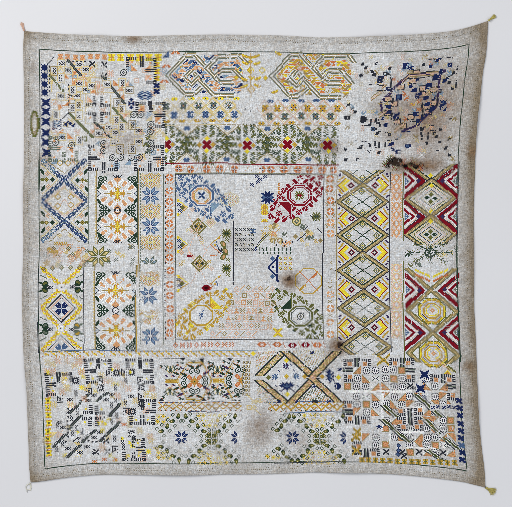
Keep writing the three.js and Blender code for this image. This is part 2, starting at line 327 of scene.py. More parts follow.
class Wiring:
    """Short names for making and joining nodes in one tree."""

    def __init__(self, tree):
        self.tree = tree

    def join(self, source, target):
        if isinstance(source, (int, float, tuple)):
            target.default_value = source
        else:
            self.tree.links.new(source, target)

    def node(self, kind, **settings):
        made = self.tree.nodes.new(kind)
        for name, value in settings.items():
            setattr(made, name, value)
        return made

    def math(self, operation, *terms):
        made = self.node("ShaderNodeMath", operation=operation)
        for term, socket in zip(terms, made.inputs, strict=False):
            self.join(term, socket)
        return made.outputs[0]

    def mix(self, share, first, second):
        made = self.node("ShaderNodeMix", data_type="RGBA")
        self.join(share, made.inputs[0])
        for term, socket in ((first, made.inputs[6]), (second, made.inputs[7])):
            self.join(term, socket)
        return made.outputs[2]

    def noise(self, place, scale, detail=3.0, roughness=0.55):
        made = self.node("ShaderNodeTexNoise")
        self.join(place, made.inputs["Vector"])
        self.join(scale, made.inputs["Scale"])
        made.inputs["Detail"].default_value = detail
        made.inputs["Roughness"].default_value = roughness
        return made.outputs["Fac"]

    def mapped(self, place, scale=(1, 1, 1), turn=(0, 0, 0)):
        made = self.node("ShaderNodeMapping")
        self.join(place, made.inputs["Vector"])
        made.inputs["Scale"].default_value = scale
        made.inputs["Rotation"].default_value = turn
        return made.outputs["Vector"]

    def remap(self, value, low, high, to_low=0.0, to_high=1.0):
        made = self.node("ShaderNodeMapRange")
        for term, socket in zip((value, low, high, to_low, to_high), made.inputs, strict=False):
            self.join(term, socket)
        return made.outputs["Result"]

    def bump(self, height, strength, distance):
        made = self.node("ShaderNodeBump")
        self.join(height, made.inputs["Height"])
        made.inputs["Strength"].default_value = strength
        made.inputs["Distance"].default_value = distance
        return made.outputs["Normal"]

    def scaled(self, colour, share):
        made = self.node("ShaderNodeVectorMath", operation="SCALE")
        self.join(colour, made.inputs[0])
        self.join(share, made.inputs["Scale"])
        return made.outputs["Vector"]

    def call(self, group, **values):
        made = self.node("ShaderNodeGroup")
        made.node_tree = group
        for label, value in values.items():
            self.join(value, made.inputs[label.replace("_", " ")])
        return made


def floss_group():
    """Unspun silk: fibres along the strand, with the colour painted darker between them and lighter on
    them as shade and highlight, and dusted by handling.
    """
    found = bpy.data.node_groups.get("Silk floss")
    if found:
        return found
    group, inlet, outlet = new_group(
        "Silk floss",
        (
            ("Colour", "NodeSocketColor", (0.5, 0.5, 0.5, 1)),
            ("Place", "NodeSocketVector", None),
            ("Fibre size", "NodeSocketFloat", FIBRE_SIZE),
            ("Wear", "NodeSocketFloat", 0.3),
        ),
        (("Colour", "NodeSocketColor"), ("Height", "NodeSocketFloat")),
    )
    w = Wiring(group)
    scale = w.math("DIVIDE", 1.0, inlet.outputs["Fibre size"])
    stretched = w.mapped(inlet.outputs["Place"], scale=(1.0, 0.12, 1.0))
    fibres = w.noise(stretched, scale, 2.0, 0.5)
    handling = w.noise(inlet.outputs["Place"], 45.0, 4.0)
    dust = w.math("MULTIPLY", w.remap(handling, 0.45, 0.75), inlet.outputs["Wear"])
    dusty = w.mix(dust, inlet.outputs["Colour"], (*srgb(196, 188, 176), 1.0))
    # Painted shade and highlight: the colour is darker between the fibres and lighter on them, by the
    # same noise as their relief.
    w.join(w.scaled(dusty, w.remap(fibres, 0.3, 0.7, 0.82, 1.12)), outlet.inputs["Colour"])
    w.join(fibres, outlet.inputs["Height"])
    return group


def silk_material(name, colour=None, wear=0.015):
    """Silk of one colour, or of the colours painted on the stitches where none is given."""
    found = bpy.data.materials.get(name)
    if found:
        return found
    material, tree, shader = new_material(name)
    w = Wiring(tree)
    place = w.node("ShaderNodeTexCoord").outputs["Object"]
    if colour is None:
        colour = w.node("ShaderNodeAttribute", attribute_name="Silk").outputs["Color"]
    else:
        colour = (*colour, 1.0)
    floss = w.call(floss_group(), Colour=colour, Place=place, Fibre_size=FIBRE_SIZE, Wear=wear)
    w.join(floss.outputs["Colour"], shader.inputs["Base Color"])
    relief = w.bump(floss.outputs["Height"], FLOSS_BUMP, FIBRE_RELIEF)
    w.join(relief, shader.inputs["Normal"])
    shader.inputs["Roughness"].default_value = 0.7
    shader.inputs["Specular IOR Level"].default_value = 0.06
    return material


def weave_group():
    """Plain weave counted in threads: its relief, and a mask of the pinholes between the threads, where
    the linen is painted darker as shade.
    """
    group, inlet, outlet = new_group(
        "Plain weave",
        (("Threads", "NodeSocketVector", None), ("Slub", "NodeSocketFloat", 0.5)),
        (("Height", "NodeSocketFloat"), ("Pinholes", "NodeSocketFloat")),
    )
    w = Wiring(group)
    parts = w.node("ShaderNodeSeparateXYZ")
    w.join(inlet.outputs["Threads"], parts.inputs[0])
    warp = w.math("ABSOLUTE", w.math("SINE", w.math("MULTIPLY", parts.outputs["X"], math.pi)))
    weft = w.math("ABSOLUTE", w.math("SINE", w.math("MULTIPLY", parts.outputs["Y"], math.pi)))
    checker = w.node("ShaderNodeTexChecker")
    w.join(inlet.outputs["Threads"], checker.inputs["Vector"])
    checker.inputs["Scale"].default_value = 1.0
    over = w.node("ShaderNodeMix", data_type="FLOAT")
    w.join(checker.outputs["Fac"], over.inputs[0])
    w.join(warp, over.inputs[2])
    w.join(weft, over.inputs[3])
    along_warp = w.noise(w.mapped(inlet.outputs["Threads"], scale=(1.0, 0.08, 1.0)), 0.9, 2.0)
    along_weft = w.noise(w.mapped(inlet.outputs["Threads"], scale=(0.08, 1.0, 1.0)), 0.9, 2.0)
    slubs = w.math("ADD", along_warp, along_weft)
    slub_height = w.math("MULTIPLY", slubs, inlet.outputs["Slub"])
    w.join(w.math("ADD", over.outputs[0], slub_height), outlet.inputs["Height"])
    gaps = w.math("MULTIPLY", warp, weft)
    w.join(w.remap(gaps, 0.0, 0.5, 1.0, 0.0), outlet.inputs["Pinholes"])
    return group


def linen_material(colours):
    """Aged plain-weave linen: mottled, browned where it was handled, stained and scorched."""
    material, tree, shader = new_material("aged_linen")
    w = Wiring(tree)
    threads = w.node("ShaderNodeUVMap", uv_map="Threads").outputs["UV"]
    place = w.node("ShaderNodeTexCoord").outputs["Object"]
    age = w.node("ShaderNodeSeparateColor")
    w.join(w.node("ShaderNodeAttribute", attribute_name="Age").outputs["Color"], age.inputs[0])
    weave = w.call(weave_group(), Threads=threads, Slub=0.8)

    cloudy = w.noise(place, 22.0, 6.0, 0.62)
    grain_warp = w.noise(w.mapped(threads, scale=(0.5, 0.06, 1.0)), 1.0, 3.0, 0.7)
    grain_weft = w.noise(w.mapped(threads, scale=(0.06, 0.5, 1.0)), 1.0, 3.0, 0.7)
    grain = w.math("ADD", grain_warp, grain_weft)
    speck = w.noise(threads, 0.34, 2.0, 0.75)
    cast = w.noise(w.mapped(threads, turn=(0, 0, 0.6)), 0.16, 2.0, 0.8)

    mottle = w.noise(place, 240.0, 4.0, 0.7)
    rough = w.math("ADD", w.math("MULTIPLY", cloudy, 0.5), w.math("MULTIPLY", mottle, 0.5))
    edge_noise = w.math("MULTIPLY", w.math("SUBTRACT", rough, 0.5), 1.2)
    browned = w.remap(w.math("ADD", age.outputs[0], edge_noise), 0.05, 0.95)
    tinted = w.remap(cast, 0.35, 0.65, 0.0, 0.42)
    colour = w.mix(tinted, (*colours.linen, 1.0), (*colours.flax, 1.0))
    colour = w.mix(browned, colour, (*colours.linen_aged, 1.0))
    stained = w.remap(w.math("ADD", age.outputs[1], edge_noise), 0.2, 1.0)
    colour = w.mix(stained, colour, (*colours.stain, 1.0))
    ragged = w.math("SUBTRACT", w.noise(place, 190.0, 5.0, 0.7), 0.5)
    scorch_noise = w.math("MULTIPLY", ragged, 2.2)
    scorched = w.remap(w.math("ADD", age.outputs[2], scorch_noise), 0.3, 0.7)
    colour = w.mix(scorched, colour, (*colours.scorch, 1.0))

    grain_shade = w.remap(grain, 0.75, 1.25, 0.7, 1.2)
    speck_shade = w.remap(speck, 0.3, 0.7, 0.66, 1.3)
    # Painted shade: the linen is darkened in the pinholes between the threads.
    pinhole_painted_shade = w.remap(weave.outputs["Pinholes"], 0.0, 1.0, 1.0, 0.72)
    shade = w.math("MULTIPLY", w.math("MULTIPLY", grain_shade, speck_shade), pinhole_painted_shade)
    w.join(w.scaled(colour, shade), shader.inputs["Base Color"])
    w.join(w.remap(cloudy, 0.3, 0.7, 0.85, 0.97), shader.inputs["Roughness"])
    w.join(w.bump(weave.outputs["Height"], WEAVE_BUMP, WEAVE_RELIEF), shader.inputs["Normal"])
    shader.inputs["Specular IOR Level"].default_value = 0.2
    shader.inputs["Sheen Weight"].default_value = 0.1
    return material


# Mesh helpers


def new_piece(name, points, faces, corners, material):
    """A smooth-shaded mesh piece from arrays; all faces have the same number of corners."""
    mesh = bpy.data.meshes.new(name)
    count = len(faces)
    mesh.vertices.add(len(points))
    mesh.vertices.foreach_set("co", np.asarray(points, np.float32).ravel())
    mesh.loops.add(count * corners)
    mesh.loops.foreach_set("vertex_index", np.asarray(faces, np.int32).ravel())
    mesh.polygons.add(count)
    mesh.polygons.foreach_set("loop_start", np.arange(0, count * corners, corners, dtype=np.int32))
    mesh.update(calc_edges=True)
    mesh.shade_smooth()
    mesh.materials.append(material)
    piece = bpy.data.objects.new(name, mesh)
    bpy.context.scene.collection.objects.link(piece)
    return piece


def select_only(active, *others):
    """Selects these pieces and nothing else, the first one as the active one."""
    bpy.ops.object.select_all(action="DESELECT")
    for piece in (active, *others):
        piece.select_set(True)
    bpy.context.view_layer.objects.active = active


def add_map(piece, name, per_point):
    """A UV map with one place for each point."""
    mesh = piece.data
    corner_points = np.empty(len(mesh.loops), np.int32)
    mesh.loops.foreach_get("vertex_index", corner_points)
    layer = mesh.uv_layers.new(name=name)
    layer.uv.foreach_set("vector", np.asarray(per_point, np.float32)[corner_points].ravel())


def add_colours(piece, name, per_point):
    """A colour attribute with one colour for each point, given as rows of three."""
    colours = np.ones((len(per_point), 4), np.float32)
    colours[:, :3] = per_point
    layer = piece.data.color_attributes.new(name=name, type="FLOAT_COLOR", domain="POINT")
    layer.data.foreach_set("color", colours.ravel())


def plan_map(points, low_v=0.0, high_v=1.0):
    """A map seen from straight above, filling the square from low_v to high_v."""
    margin = 0.004
    lowest = points[:, :2].min(axis=0)
    size = points[:, :2].max(axis=0) - lowest
    uv = margin + (points[:, :2] - lowest) / size * (1 - 2 * margin)
    uv[:, 1] = low_v + uv[:, 1] * (high_v - low_v)
    return uv


# Age of the cloth

# Brown stains on the table grid: column, row, half width, half height, strength from 0 to 1.
STAINS = (
    (133, 39, 9, 5, 0.75), (33, 67, 5, 8, 0.45), (473, 153, 7, 7, 0.7), (469, 366, 7, 7, 0.6),
    (126, 142, 30, 20, 0.42), (104, 76, 6, 5, 0.4), (290, 281, 11, 10, 0.95), (338, 346, 11, 9, 0.8),
    (261, 428, 19, 22, 0.62), (296, 440, 14, 12, 0.4), (330, 146, 11, 9, 0.8), (400, 168, 22, 9, 0.62),
    (436, 167, 12, 7, 0.4), (416, 166, 16, 8, 0.5), (428, 86, 38, 28, 0.36), (408, 128, 44, 26, 0.44),
    (45, 160, 12, 8, 0.5), (240, 245, 20, 18, 0.3), (100, 330, 14, 18, 0.16), (60, 250, 22, 12, 0.3),
    (250, 315, 30, 28, 0.24), (45, 216, 10, 60, 0.2), (380, 110, 24, 16, 0.2), (345, 372, 30, 22, 0.24),
    (400, 420, 50, 40, 0.22), (330, 240, 18, 90, 0.16), (160, 250, 20, 14, 0.24),
    (438, 118, 34, 54, 0.36), (112, 412, 54, 44, -0.3),
)
# Scorched spots on the table grid: column, row, half width, half height.
SCORCHES = (
    (391, 161, 4.4, 3.6), (397, 164, 3.4, 2.6), (401, 160, 2.6, 2.2), (396, 158, 2.6, 2.0),
    (388, 166, 2.6, 2.2), (405, 166, 3.4, 2.4), (411, 163, 2.2, 1.8), (416, 167, 3.8, 2.4),
    (421, 164, 2.0, 1.6), (425, 168, 2.4, 1.8), (289, 279, 4.0, 3.0), (206, 288, 3.0, 2.0),
    (340, 344, 4.0, 3.0),
)
# How far in the margins are browned, in squares, and how brown the cloth is everywhere.
BROWNED_REACH = 14.0
EVEN_BROWNING = 0.12


def soft_spots(column, row, spots):
    """The sum of soft round spots at places of the table grid."""
    total = np.zeros(np.shape(column))
    for spot in spots:
        x, y, half_width, half_height = spot[:4]
        strength = spot[4] if len(spot) > 4 else 1.0
        away = ((column - x) / half_width) ** 2 + ((row - y) / half_height) ** 2
        total = total + strength * np.exp(-away)
    return total


def cloth_age(across, down):
    """Browning, stain and scorch at places of the cloth, as rows of three from 0 to 1."""
    x, y = plan_point(across, down)
    column = x / STITCH + CLOTH_LEFT + CLOTH_ACROSS / 2
    row = CLOTH_TOP + CLOTH_DOWN / 2 - y / STITCH
    sides = (
        (across, CLOTH_ACROSS, 0.8), (1 - across, CLOTH_ACROSS, 1.3),
        (down, CLOTH_DOWN, 0.55), (1 - down, CLOTH_DOWN, 0.6),
    )
    margin = sum(
        part * np.exp(-np.maximum(away, 0) * size / BROWNED_REACH) for away, size, part in sides
    )
    stain = soft_spots(column, row, STAINS)
    scorch = soft_spots(column, row, SCORCHES)
    browned = EVEN_BROWNING + 0.75 * margin + 0.4 * stain
    return np.clip(np.stack([browned, stain, scorch], axis=-1), 0, 1)


# The linen ground

INNER_STEPS = 150
# Places in from the folded edge where the hem's section bends, in millimetres.
HEM_STATIONS = (0.0, 0.12, 0.4, 0.8, 1.4, 2.6, 3.8, 5.0, 6.0, 6.6, 7.0, 7.3, 8.4)
HEM_SEAM_DIP = 0.16 * MM
HEM_SEAM_IN = 5.9 * MM
WELD_WITHIN = 0.001 * MM
# The part of the baked map's height that the plain underside takes.
UNDERSIDE_SHARE = 0.24


def cloth_stations(length):
    near = np.array(HEM_STATIONS) * MM
    inner = np.linspace(near[-1], length - near[-1], INNER_STEPS + 1)[1:-1]
    return np.concatenate([near, inner, length - near[::-1]]) / length


def hem_heights(inward):
    """Heights of the two faces of the cloth at distances from the folded edge."""
    radius = HEM_THICKNESS / 2
    reach = np.clip(1 - inward / radius, 0, 1)
    bulge = radius * np.sqrt(1 - reach * reach)
    fold_end = np.clip((inward - (HEM_WIDTH - 0.2 * MM)) / (0.5 * MM), 0, 1)
    seam = np.exp(-(((inward - HEM_SEAM_IN) / (0.7 * MM)) ** 2)) * HEM_SEAM_DIP
    top = radius + bulge - seam - fold_end * (HEM_THICKNESS - GROUND_THICKNESS)
    return top, radius - bulge


def make_linen(colours):
    """The hemmed sheet: two faces on one grid, joined round the folded edge."""
    across_at, down_at = cloth_stations(CLOTH_WIDTH), cloth_stations(CLOTH_LENGTH)
    across, down = np.meshgrid(across_at, down_at)
    inward = np.minimum(
        np.minimum(across, 1 - across) * CLOTH_WIDTH, np.minimum(down, 1 - down) * CLOTH_LENGTH
    )
    x, y = plan_point(across, down)
    top, underside = hem_heights(inward)
    lift = cloth_lift(across, down)
    rise = ripple(across, down) * np.clip(inward / HEM_WIDTH, 0.2, 1)
    upper = np.stack([x + OFFSET_X, y + OFFSET_Y, top + lift + rise], axis=-1).reshape(-1, 3)
    lower = np.stack([x + OFFSET_X, y + OFFSET_Y, underside + lift], axis=-1).reshape(-1, 3)
    down_count, across_count = across.shape
    number = np.arange(down_count * across_count).reshape(across.shape)
    a, b = number[:-1, :-1].ravel(), number[:-1, 1:].ravel()
    c, d = number[1:, 1:].ravel(), number[1:, :-1].ravel()
    upper_faces = np.stack([a, d, c, b], axis=1)
    shift = number.size
    lower_faces = np.stack([a, b, c, d], axis=1) + shift
    rim = np.concatenate([number[0], number[1:, -1], number[-1, -2::-1], number[-2::-1, 0]])
    rim_faces = np.stack([rim[:-1], rim[1:], rim[1:] + shift, rim[:-1] + shift], axis=1)
    points = np.concatenate([upper, lower])
    faces = np.concatenate([upper_faces, lower_faces, rim_faces])
    cloth = new_piece("linen_cloth", points, faces, 4, linen_material(colours))
    bake = np.concatenate(
        [plan_map(upper, UNDERSIDE_SHARE + 0.01, 1.0), plan_map(lower, 0.0, UNDERSIDE_SHARE)]
    )
    threads = np.stack([across * CLOTH_ACROSS * 2, down * CLOTH_DOWN * 2], axis=-1).reshape(-1, 2)
    add_map(cloth, "OFBake", bake)
    add_map(cloth, "Threads", np.concatenate([threads, threads]))
    age = cloth_age(across.ravel(), down.ravel())
    add_colours(cloth, "Age", np.concatenate([age, age]))
    weld = cloth.modifiers.new("Weld", "WELD")
    weld.merge_threshold = WELD_WITHIN
    select_only(cloth)
    bpy.ops.object.modifier_apply(modifier=weld.name)
    return cloth


# Strands of thread laid on the cloth


class Strands:
    """Short lengths of thread on the cloth, gathered from charts and lines.

    Each has its middle and half length on the chart, half width, lowest and highest heights."""

    def __init__(self):
        self.rows = []

    def add(self, middle, half, half_width, base, crown, colour):
        count = len(middle)
        wide = np.broadcast_to(np.asarray(half_width, float), (count,))
        low = np.broadcast_to(np.asarray(base, float), (count,))
        high = np.broadcast_to(np.asarray(crown, float), (count,))
        self.rows.append(
            np.concatenate(
                [middle, np.broadcast_to(half, (count, 2)), wide[:, None], low[:, None],
                 high[:, None], colour], axis=1
            )
        )

    def piece(self, name, material):
        """One mesh with a low four-sided ridge for each strand."""
        table = np.concatenate(self.rows)
        middle, half, width = table[:, 0:2], table[:, 2:4], table[:, 4:5]
        base, crown, colour = table[:, 5], table[:, 6], table[:, 7:10]
        length = np.linalg.norm(half, axis=1, keepdims=True)
        side = np.stack([-half[:, 1], half[:, 0]], axis=1) / length * width
        ring = [middle - half - side, middle - half + side, middle + half + side,
                middle + half - side, middle]
        heights = [base, base, base, base, crown]
        chart = np.stack(ring, axis=1)
        height = np.stack(heights, axis=1)
        across, down = grid_to_cloth(chart[..., 0], chart[..., 1])
        points = surface_points(across, down, height).reshape(-1, 3)
        first = np.arange(len(table))[:, None, None] * 5
        ridge = np.array([[0, 1, 4], [1, 2, 4], [2, 3, 4], [3, 0, 4]])
        faces = (first + ridge[None]).reshape(-1, 3)
        piece = new_piece(name, points, faces, 3, material)
        add_map(piece, "OFBake", plan_map(points))
        # Painted shade and highlight: each ridge's four base corners are painted darker and its crown
        # lighter.
        shade = np.array([0.86, 0.86, 0.86, 0.86, 1.08])
        painted = np.clip(colour[:, None, :] * shade[None, :, None], 0, 1).reshape(-1, 3)
        add_colours(piece, "Silk", painted)
        return piece


# The chart

CROSS, FINE, SATIN_ACROSS, SATIN_DOWN = 0, 1, 2, 3
# Half the side of the square that a stitch's lower strand fills, in squares of the chart.
FULL_STITCH = 0.53
FINE_STITCH = 0.44
FILLED_RISE = 0.03 * MM
STRAND_SUNK = 0.06 * MM
# How far the silk's lightness and its colour vary from stitch to stitch, as parts of the whole.
TONE_SPREAD = 0.14
CAST_SPREAD = 0.035


class Chart:
    """Squared paper with a silk in each filled square, drawn on by places of the table grid."""

    def __init__(self, seed):
        self.silk = np.zeros((GRID_DOWN, GRID_ACROSS), np.uint8)
        self.kind = np.zeros((GRID_DOWN, GRID_ACROSS), np.uint8)
        self.random = np.random.default_rng(seed)

    def square(self, column, row, letter, kind=CROSS):
        """Fills one square of the chart itself; "." unpicks it."""
        if 0 <= column < GRID_ACROSS and 0 <= row < GRID_DOWN:
            self.silk[row, column] = LETTERS.index(letter)
            self.kind[row, column] = kind

    def stamp(self, x, y, pattern, swap=None, flip="", kind=CROSS):
        """Draws a small chart with its middle at a place; swap changes its silks."""
        rows = [list(row) for row in pattern]
        if "t" in flip:
            rows = [list(row) for row in zip(*rows, strict=True)]
        if "h" in flip:
            rows = [row[::-1] for row in rows]
        if "v" in flip:
            rows = rows[::-1]
        column, row = on_chart(x, y)
        left = round(column - len(rows[0]) / 2)
        top = round(row - len(rows) / 2)
        for down, line in enumerate(rows):
            for across, letter in enumerate(line):
                if letter != ".":
                    silk = swap.get(letter, letter) if swap else letter
                    if silk != ".":
                        self.square(left + across, top + down, silk, kind)

    def scatter(self, pattern, places, swap=None, flip="", kind=CROSS):
        """Draws the same small chart at several places."""
        for x, y in places:
            self.stamp(x, y, pattern, swap, flip, kind)

    def line(self, x0, y0, x1, y1, letter, kind=CROSS, gap=0, width=1):
        """A straight run of squares between two places; every gap-th square is left bare."""
        start, end = on_chart(x0, y0), on_chart(x1, y1)
        count = int(max(abs(end[0] - start[0]), abs(end[1] - start[1]))) + 1
        steep = abs(end[1] - start[1]) > abs(end[0] - start[0])
        for k in range(count):
            if gap and k % gap == gap - 1:
                continue
            share = k / max(1, count - 1)
            column = math.floor(start[0] + (end[0] - start[0]) * share)
            row = math.floor(start[1] + (end[1] - start[1]) * share)
            for extra in range(width):
                self.square(column + (extra if steep else 0), row + (0 if steep else extra),
                            letter, kind)

    def bar(self, x0, y0, x1, y1, letter, width=3, edge=None):
        """A slanted bar of satin stitch; edge is the silk of its two sides."""
        start, end = on_chart(x0, y0), on_chart(x1, y1)
        count = int(abs(end[1] - start[1])) + 1
        for k in range(count):
            share = k / max(1, count - 1)
            column = math.floor(start[0] + (end[0] - start[0]) * share)
            row = math.floor(start[1] + (end[1] - start[1]) * share)
            for extra in range(width):
                side = edge and extra in (0, width - 1)
                self.square(column + extra, row, edge if side else letter, SATIN_ACROSS)

    def ring(self, x, y, half_width, half_height, letter, kind=CROSS, thick=1.0, fill=None,
             octagon=False):
        """A diamond's or an octagon's outline, and its inside where fill is given; "." unpicks."""
        column, row = on_chart(x, y)
        for down in range(math.floor(row - half_height) - 1, math.ceil(row + half_height) + 1):
            first, last = math.floor(column - half_width), math.ceil(column + half_width)
            for across in range(first - 1, last + 1):
                dx = abs(across + 0.5 - column) / half_width
                dy = abs(down + 0.5 - row) / half_height
                near = max(dx, dy, 0.72 * (dx + dy)) if octagon else dx + dy
                band = thick * (1.0 if octagon else 1.44) / min(half_width, half_height)
                if 1 - band / 2 <= near <= 1 + band / 2:
                    self.square(across, down, letter, kind)
                elif fill and near < 1:
                    self.square(across, down, fill, kind)

    def between(self, x0, y0, x1, y1):
        """The silks of the squares between two places."""
        left, top = (round(value) for value in on_chart(x0, y0))
        right, bottom = (round(value) for value in on_chart(x1, y1))
        return self.silk[top:bottom, left:right]

    def clear(self, x0, y0, x1, y1):
        """Unpicks all the stitches between two places."""
        self.between(x0, y0, x1, y1)[:] = 0

    def wear(self, x0, y0, x1, y1, share, patch=5):
        """Loses a share of the stitches between two places, in small patches."""
        worn = self.between(x0, y0, x1, y1)
        down, across = worn.shape
        coarse = self.random.random((down // patch + 2, across // patch + 2))
        spread = np.kron(coarse, np.ones((patch, patch)))[:down, :across]
        luck = 0.55 * spread + 0.45 * self.random.random(worn.shape)
        worn[luck < np.quantile(luck, share)] = 0

    def faded(self, x0, y0, x1, y1, letters, patterns, count):
        """Scatters small faded charts over the bare cloth between two places."""
        for k in range(count):
            x = x0 + (x1 - x0) * self.random.random()
            y = y0 + (y1 - y0) * self.random.random()
            silk, kind = self.silk.copy(), self.kind.copy()
            letter = letters[k % len(letters)]
            pattern = [
                "".join("." if mark == "." else letter for mark in line)
                for line in patterns[k % len(patterns)]
            ]
            self.stamp(x, y, pattern, flip=("", "h", "v", "t")[self.random.integers(4)], kind=FINE)
            worked = silk > 0
            self.silk[worked] = silk[worked]
            self.kind[worked] = kind[worked]

    def strands(self, settings, palette):
        """The stitches of the chart as strands of silk."""
        made = Strands()
        loose = settings.unevenness
        rows, columns = np.nonzero(self.silk)
        kinds = self.kind[rows, columns]
        colour = palette[self.silk[rows, columns]]
        tone = 1 + TONE_SPREAD * self.random.standard_normal((len(rows), 1))
        cast = 1 + CAST_SPREAD * self.random.standard_normal((len(rows), 3))
        middle = np.stack([columns + 0.5, rows + 0.5], axis=1)
        middle = middle + loose * 0.6 * (self.random.random((len(rows), 2)) - 0.5)
        age = cloth_age(*grid_to_cloth(middle[:, 0], middle[:, 1]))
        dulled = 1 - 0.35 * age[:, 1:2] - 0.85 * np.clip(age[:, 2:3] * 2.2 - 0.7, 0, 1)
        colour = colour * tone * cast * dulled
        width = 1 + 2 * loose * (self.random.random(len(rows)) - 0.5)
        half_width = settings.floss_width / STITCH / 2 * width
        fine_half = settings.fine_width / STITCH / 2 * width
        crown = settings.floss_height
        for kind in (CROSS, FINE):
            chosen = kinds == kind
            across = half_width[chosen] if kind == CROSS else fine_half[chosen]
            high = crown if kind == CROSS else crown * 0.6
            reach = FULL_STITCH if kind == CROSS else FINE_STITCH
            spot, tint = middle[chosen], colour[chosen]
            # Painted shade: the lower strand, lying under the slanted upper one, is painted a little
            # darker.
            made.add(spot, (reach, 0.0), reach, FILLED_RISE, high * 0.66, tint * 0.93)
            made.add(spot, (0.5, 0.5), across, -STRAND_SUNK, high, tint)
        for kind, half, step in (
            (SATIN_ACROSS, (0.56, 0.06), (0.0, 0.25)),
            (SATIN_DOWN, (0.06, 0.56), (0.25, 0.0)),
        ):
            chosen = kinds == kind
            for side in (-1, 1):
                spot = middle[chosen] + side * np.array(step)
                wide = half_width[chosen] * 1.3
                made.add(spot, half, wide, FILLED_RISE, crown * 0.8, colour[chosen])
        return made


# Small charts of the repeats, as rows of letters


def four_way(quarter):
    """A whole motif from its upper left quarter, whose last column and row are the middle ones."""
    rows = [line + line[-2::-1] for line in quarter.split()]
    return rows + rows[-2::-1]


def top_and_bottom(upper):
    """A motif mirrored downwards about its last row."""
    rows = upper.split()
    return rows + rows[-2::-1]


def left_and_right(half):
    """A motif mirrored to the right about its last column."""
    return [line + line[-2::-1] for line in half.split()]


STAR_SMALL = four_way("N..N .NNN .NNN NNNN")
STAR_LARGE = four_way("N.... NNN.. .NNNN .NNNN ..NNN")
STAR_EIGHT = four_way("...N... ..NNN.. .N.NNN. NNNNNN. .NNNBN. ..NNNN. ......B")
FLOWER_EIGHT = four_way(
    "....B.... ....BB... ....BbB.. ....BbbB. BBBB.BbB. .BbbB.BB. ..BbbB.N. ...BBBN.. ........."
)
STAR_LEAVES = four_way(
    "......O..... ......OO.... ......OsO... ......OssO.. ......OsssO. OOOOOO.OssO. .OsssOO.OsO. "
    "..OsssOO.OO. ...OsssOO.O. ....OOOOOO.. ............"
)
X_SQUARE = four_way("YYYy YYYo .YYy syyo")
X_SMALL = four_way("YYy YYo .yo")
X_MIDDLE = "yYooYy YYYYYY .YOOY. .YOOY. YYYYYY yYooYy".split()
NAVY_SQUARE = "NNN.NN NNNNNN .NNNN. NNNNNN NN.NNN".split()
NAVY_CHECK = four_way("NN.N. N.N.N .NbbN N.bN. .NNb. N.b.N")
NAVY_SPRIG = "....NN....... N..NN.NN..... .NNN.NNNN..N. .NNN..NN..NN. N.NN....NNN.. ...N.....NN..".split()

TWO_CROSSES = "k.kk.k .kk.k. k.kk.k".split()
TWO_DOWN = "k.k .k. k.k k.k .k. k.k".split()
BIG_CROSS = "kk...k .kk.kk ..kkk. .kkk.. kk..kk k....k".split()
TILE_BOX = ["sssssssss", *["s.......s"] * 6, "sssssssss"]
TILE_TALL = ["ssssssss", *["s......s"] * 8, "ssssssss"]
LEAF_RING = "..gkk.k .k...g. g..k..k k.k.g.k g..k..g .k...k. k.kgk..".split()
SQUARE_RING = "kkkkk k...k k.w.k k...k kkkkk".split()
COMB_CORNER = (
    "kkk....... .......... kkk....... .......... kkk..aa... .....aa... kkk....... "
    "kkkk.k.k.k k..k.k.k.k kkkk.k.k.k"
).split()
TRIANGLE = "a..... aa.... aaa... aaoa.. aaooa. aaaaaa".split()
FISH = top_and_bottom("..NN.. .NNNN. ..NN.. N.bb.N NN..NN NNNNNN")
BLUE_WREATH = left_and_right(
    "....BB.. ..BBb.NB .B.BNBb. BBNBb..B .BBb.BNN BBNNBb.B .B.BNb.. ..BBb.NB ....BB.."
)
RING_DIAMOND = "..y.. .y.y. y.Y.y .y.y. ..y..".split()
GREEN_DIAMOND = "..G.. .GGG. GGGGG .GGG. ..G..".split()
SCROLL_CORNER = (
    ".GGG..gg.. G...GG.GG. G.GG.G..Gg .G..GG.GG. .GGGG.GG.. gg.G.G..g. GGG.GG.... G..G..g... "
    "G.GG...... .G........ g........."
).split()
SCROLL_BRANCH = top_and_bottom(
    ".GGG........ G..GG.g..... G.G.G.GG.... .GG.GG.Gg... ..GGG.GG.g.. .g..G.G..GG. GGGGGGGGGGGG"
)
CENTRE_RING = "..kkk.. .k...k. k.www.k k.wkw.k k.www.k .k...k. ..kkk..".split()
EDGE_DART = "k.... .k... ..b.. b..k. ..b.. .k... k....".split()
ROSETTE = four_way(
    "................kaa ..............saaaa .............ssaaaa ......s.....sss.aaa "
    ".....ss..saas.ss.aa ....s.s.saaaas.ss.a ....s...saaaass.ssa .s.s.s...saaaas.sss "
    "..saas.s..saaa.s.sy .saaaass.s..aas.yss .saaaaass.ss.s.yosy ..saaaaas.s.ss.syoY "
    "...ssaaas.ss.s.syyY s....ssss.s.ys.s.yY .sss.....s.yos.syyY ..s.sss.s.syyyyy.YY "
    "...s.ttttyyyyoyyYYo"
)
LEAF_PAIR = "..OOO..... .OsssO.OOO .OssssOOO. .OOOssO... OOOOOOO... ..OOOO....".split()
LEAF_LONG = ".OOO... OssyO.. OssyyO. .OsyyO. .OOyyO. ..OOOO. ...OOO.".split()
LACE_DIAMOND = four_way(
    "........y. .....a.y.y ....y.y..o ..a..y..y. .y.y..o.y. y..o.y..g. .y..y.Y..y a.y..y..Y."
)
PALE_DIAMOND = four_way(".....s ....s. ...s.a ..s.p. .s.a.y s.a.y.")
BORDER_FLOWER = four_way(".ao. aoo. oow. ...o")

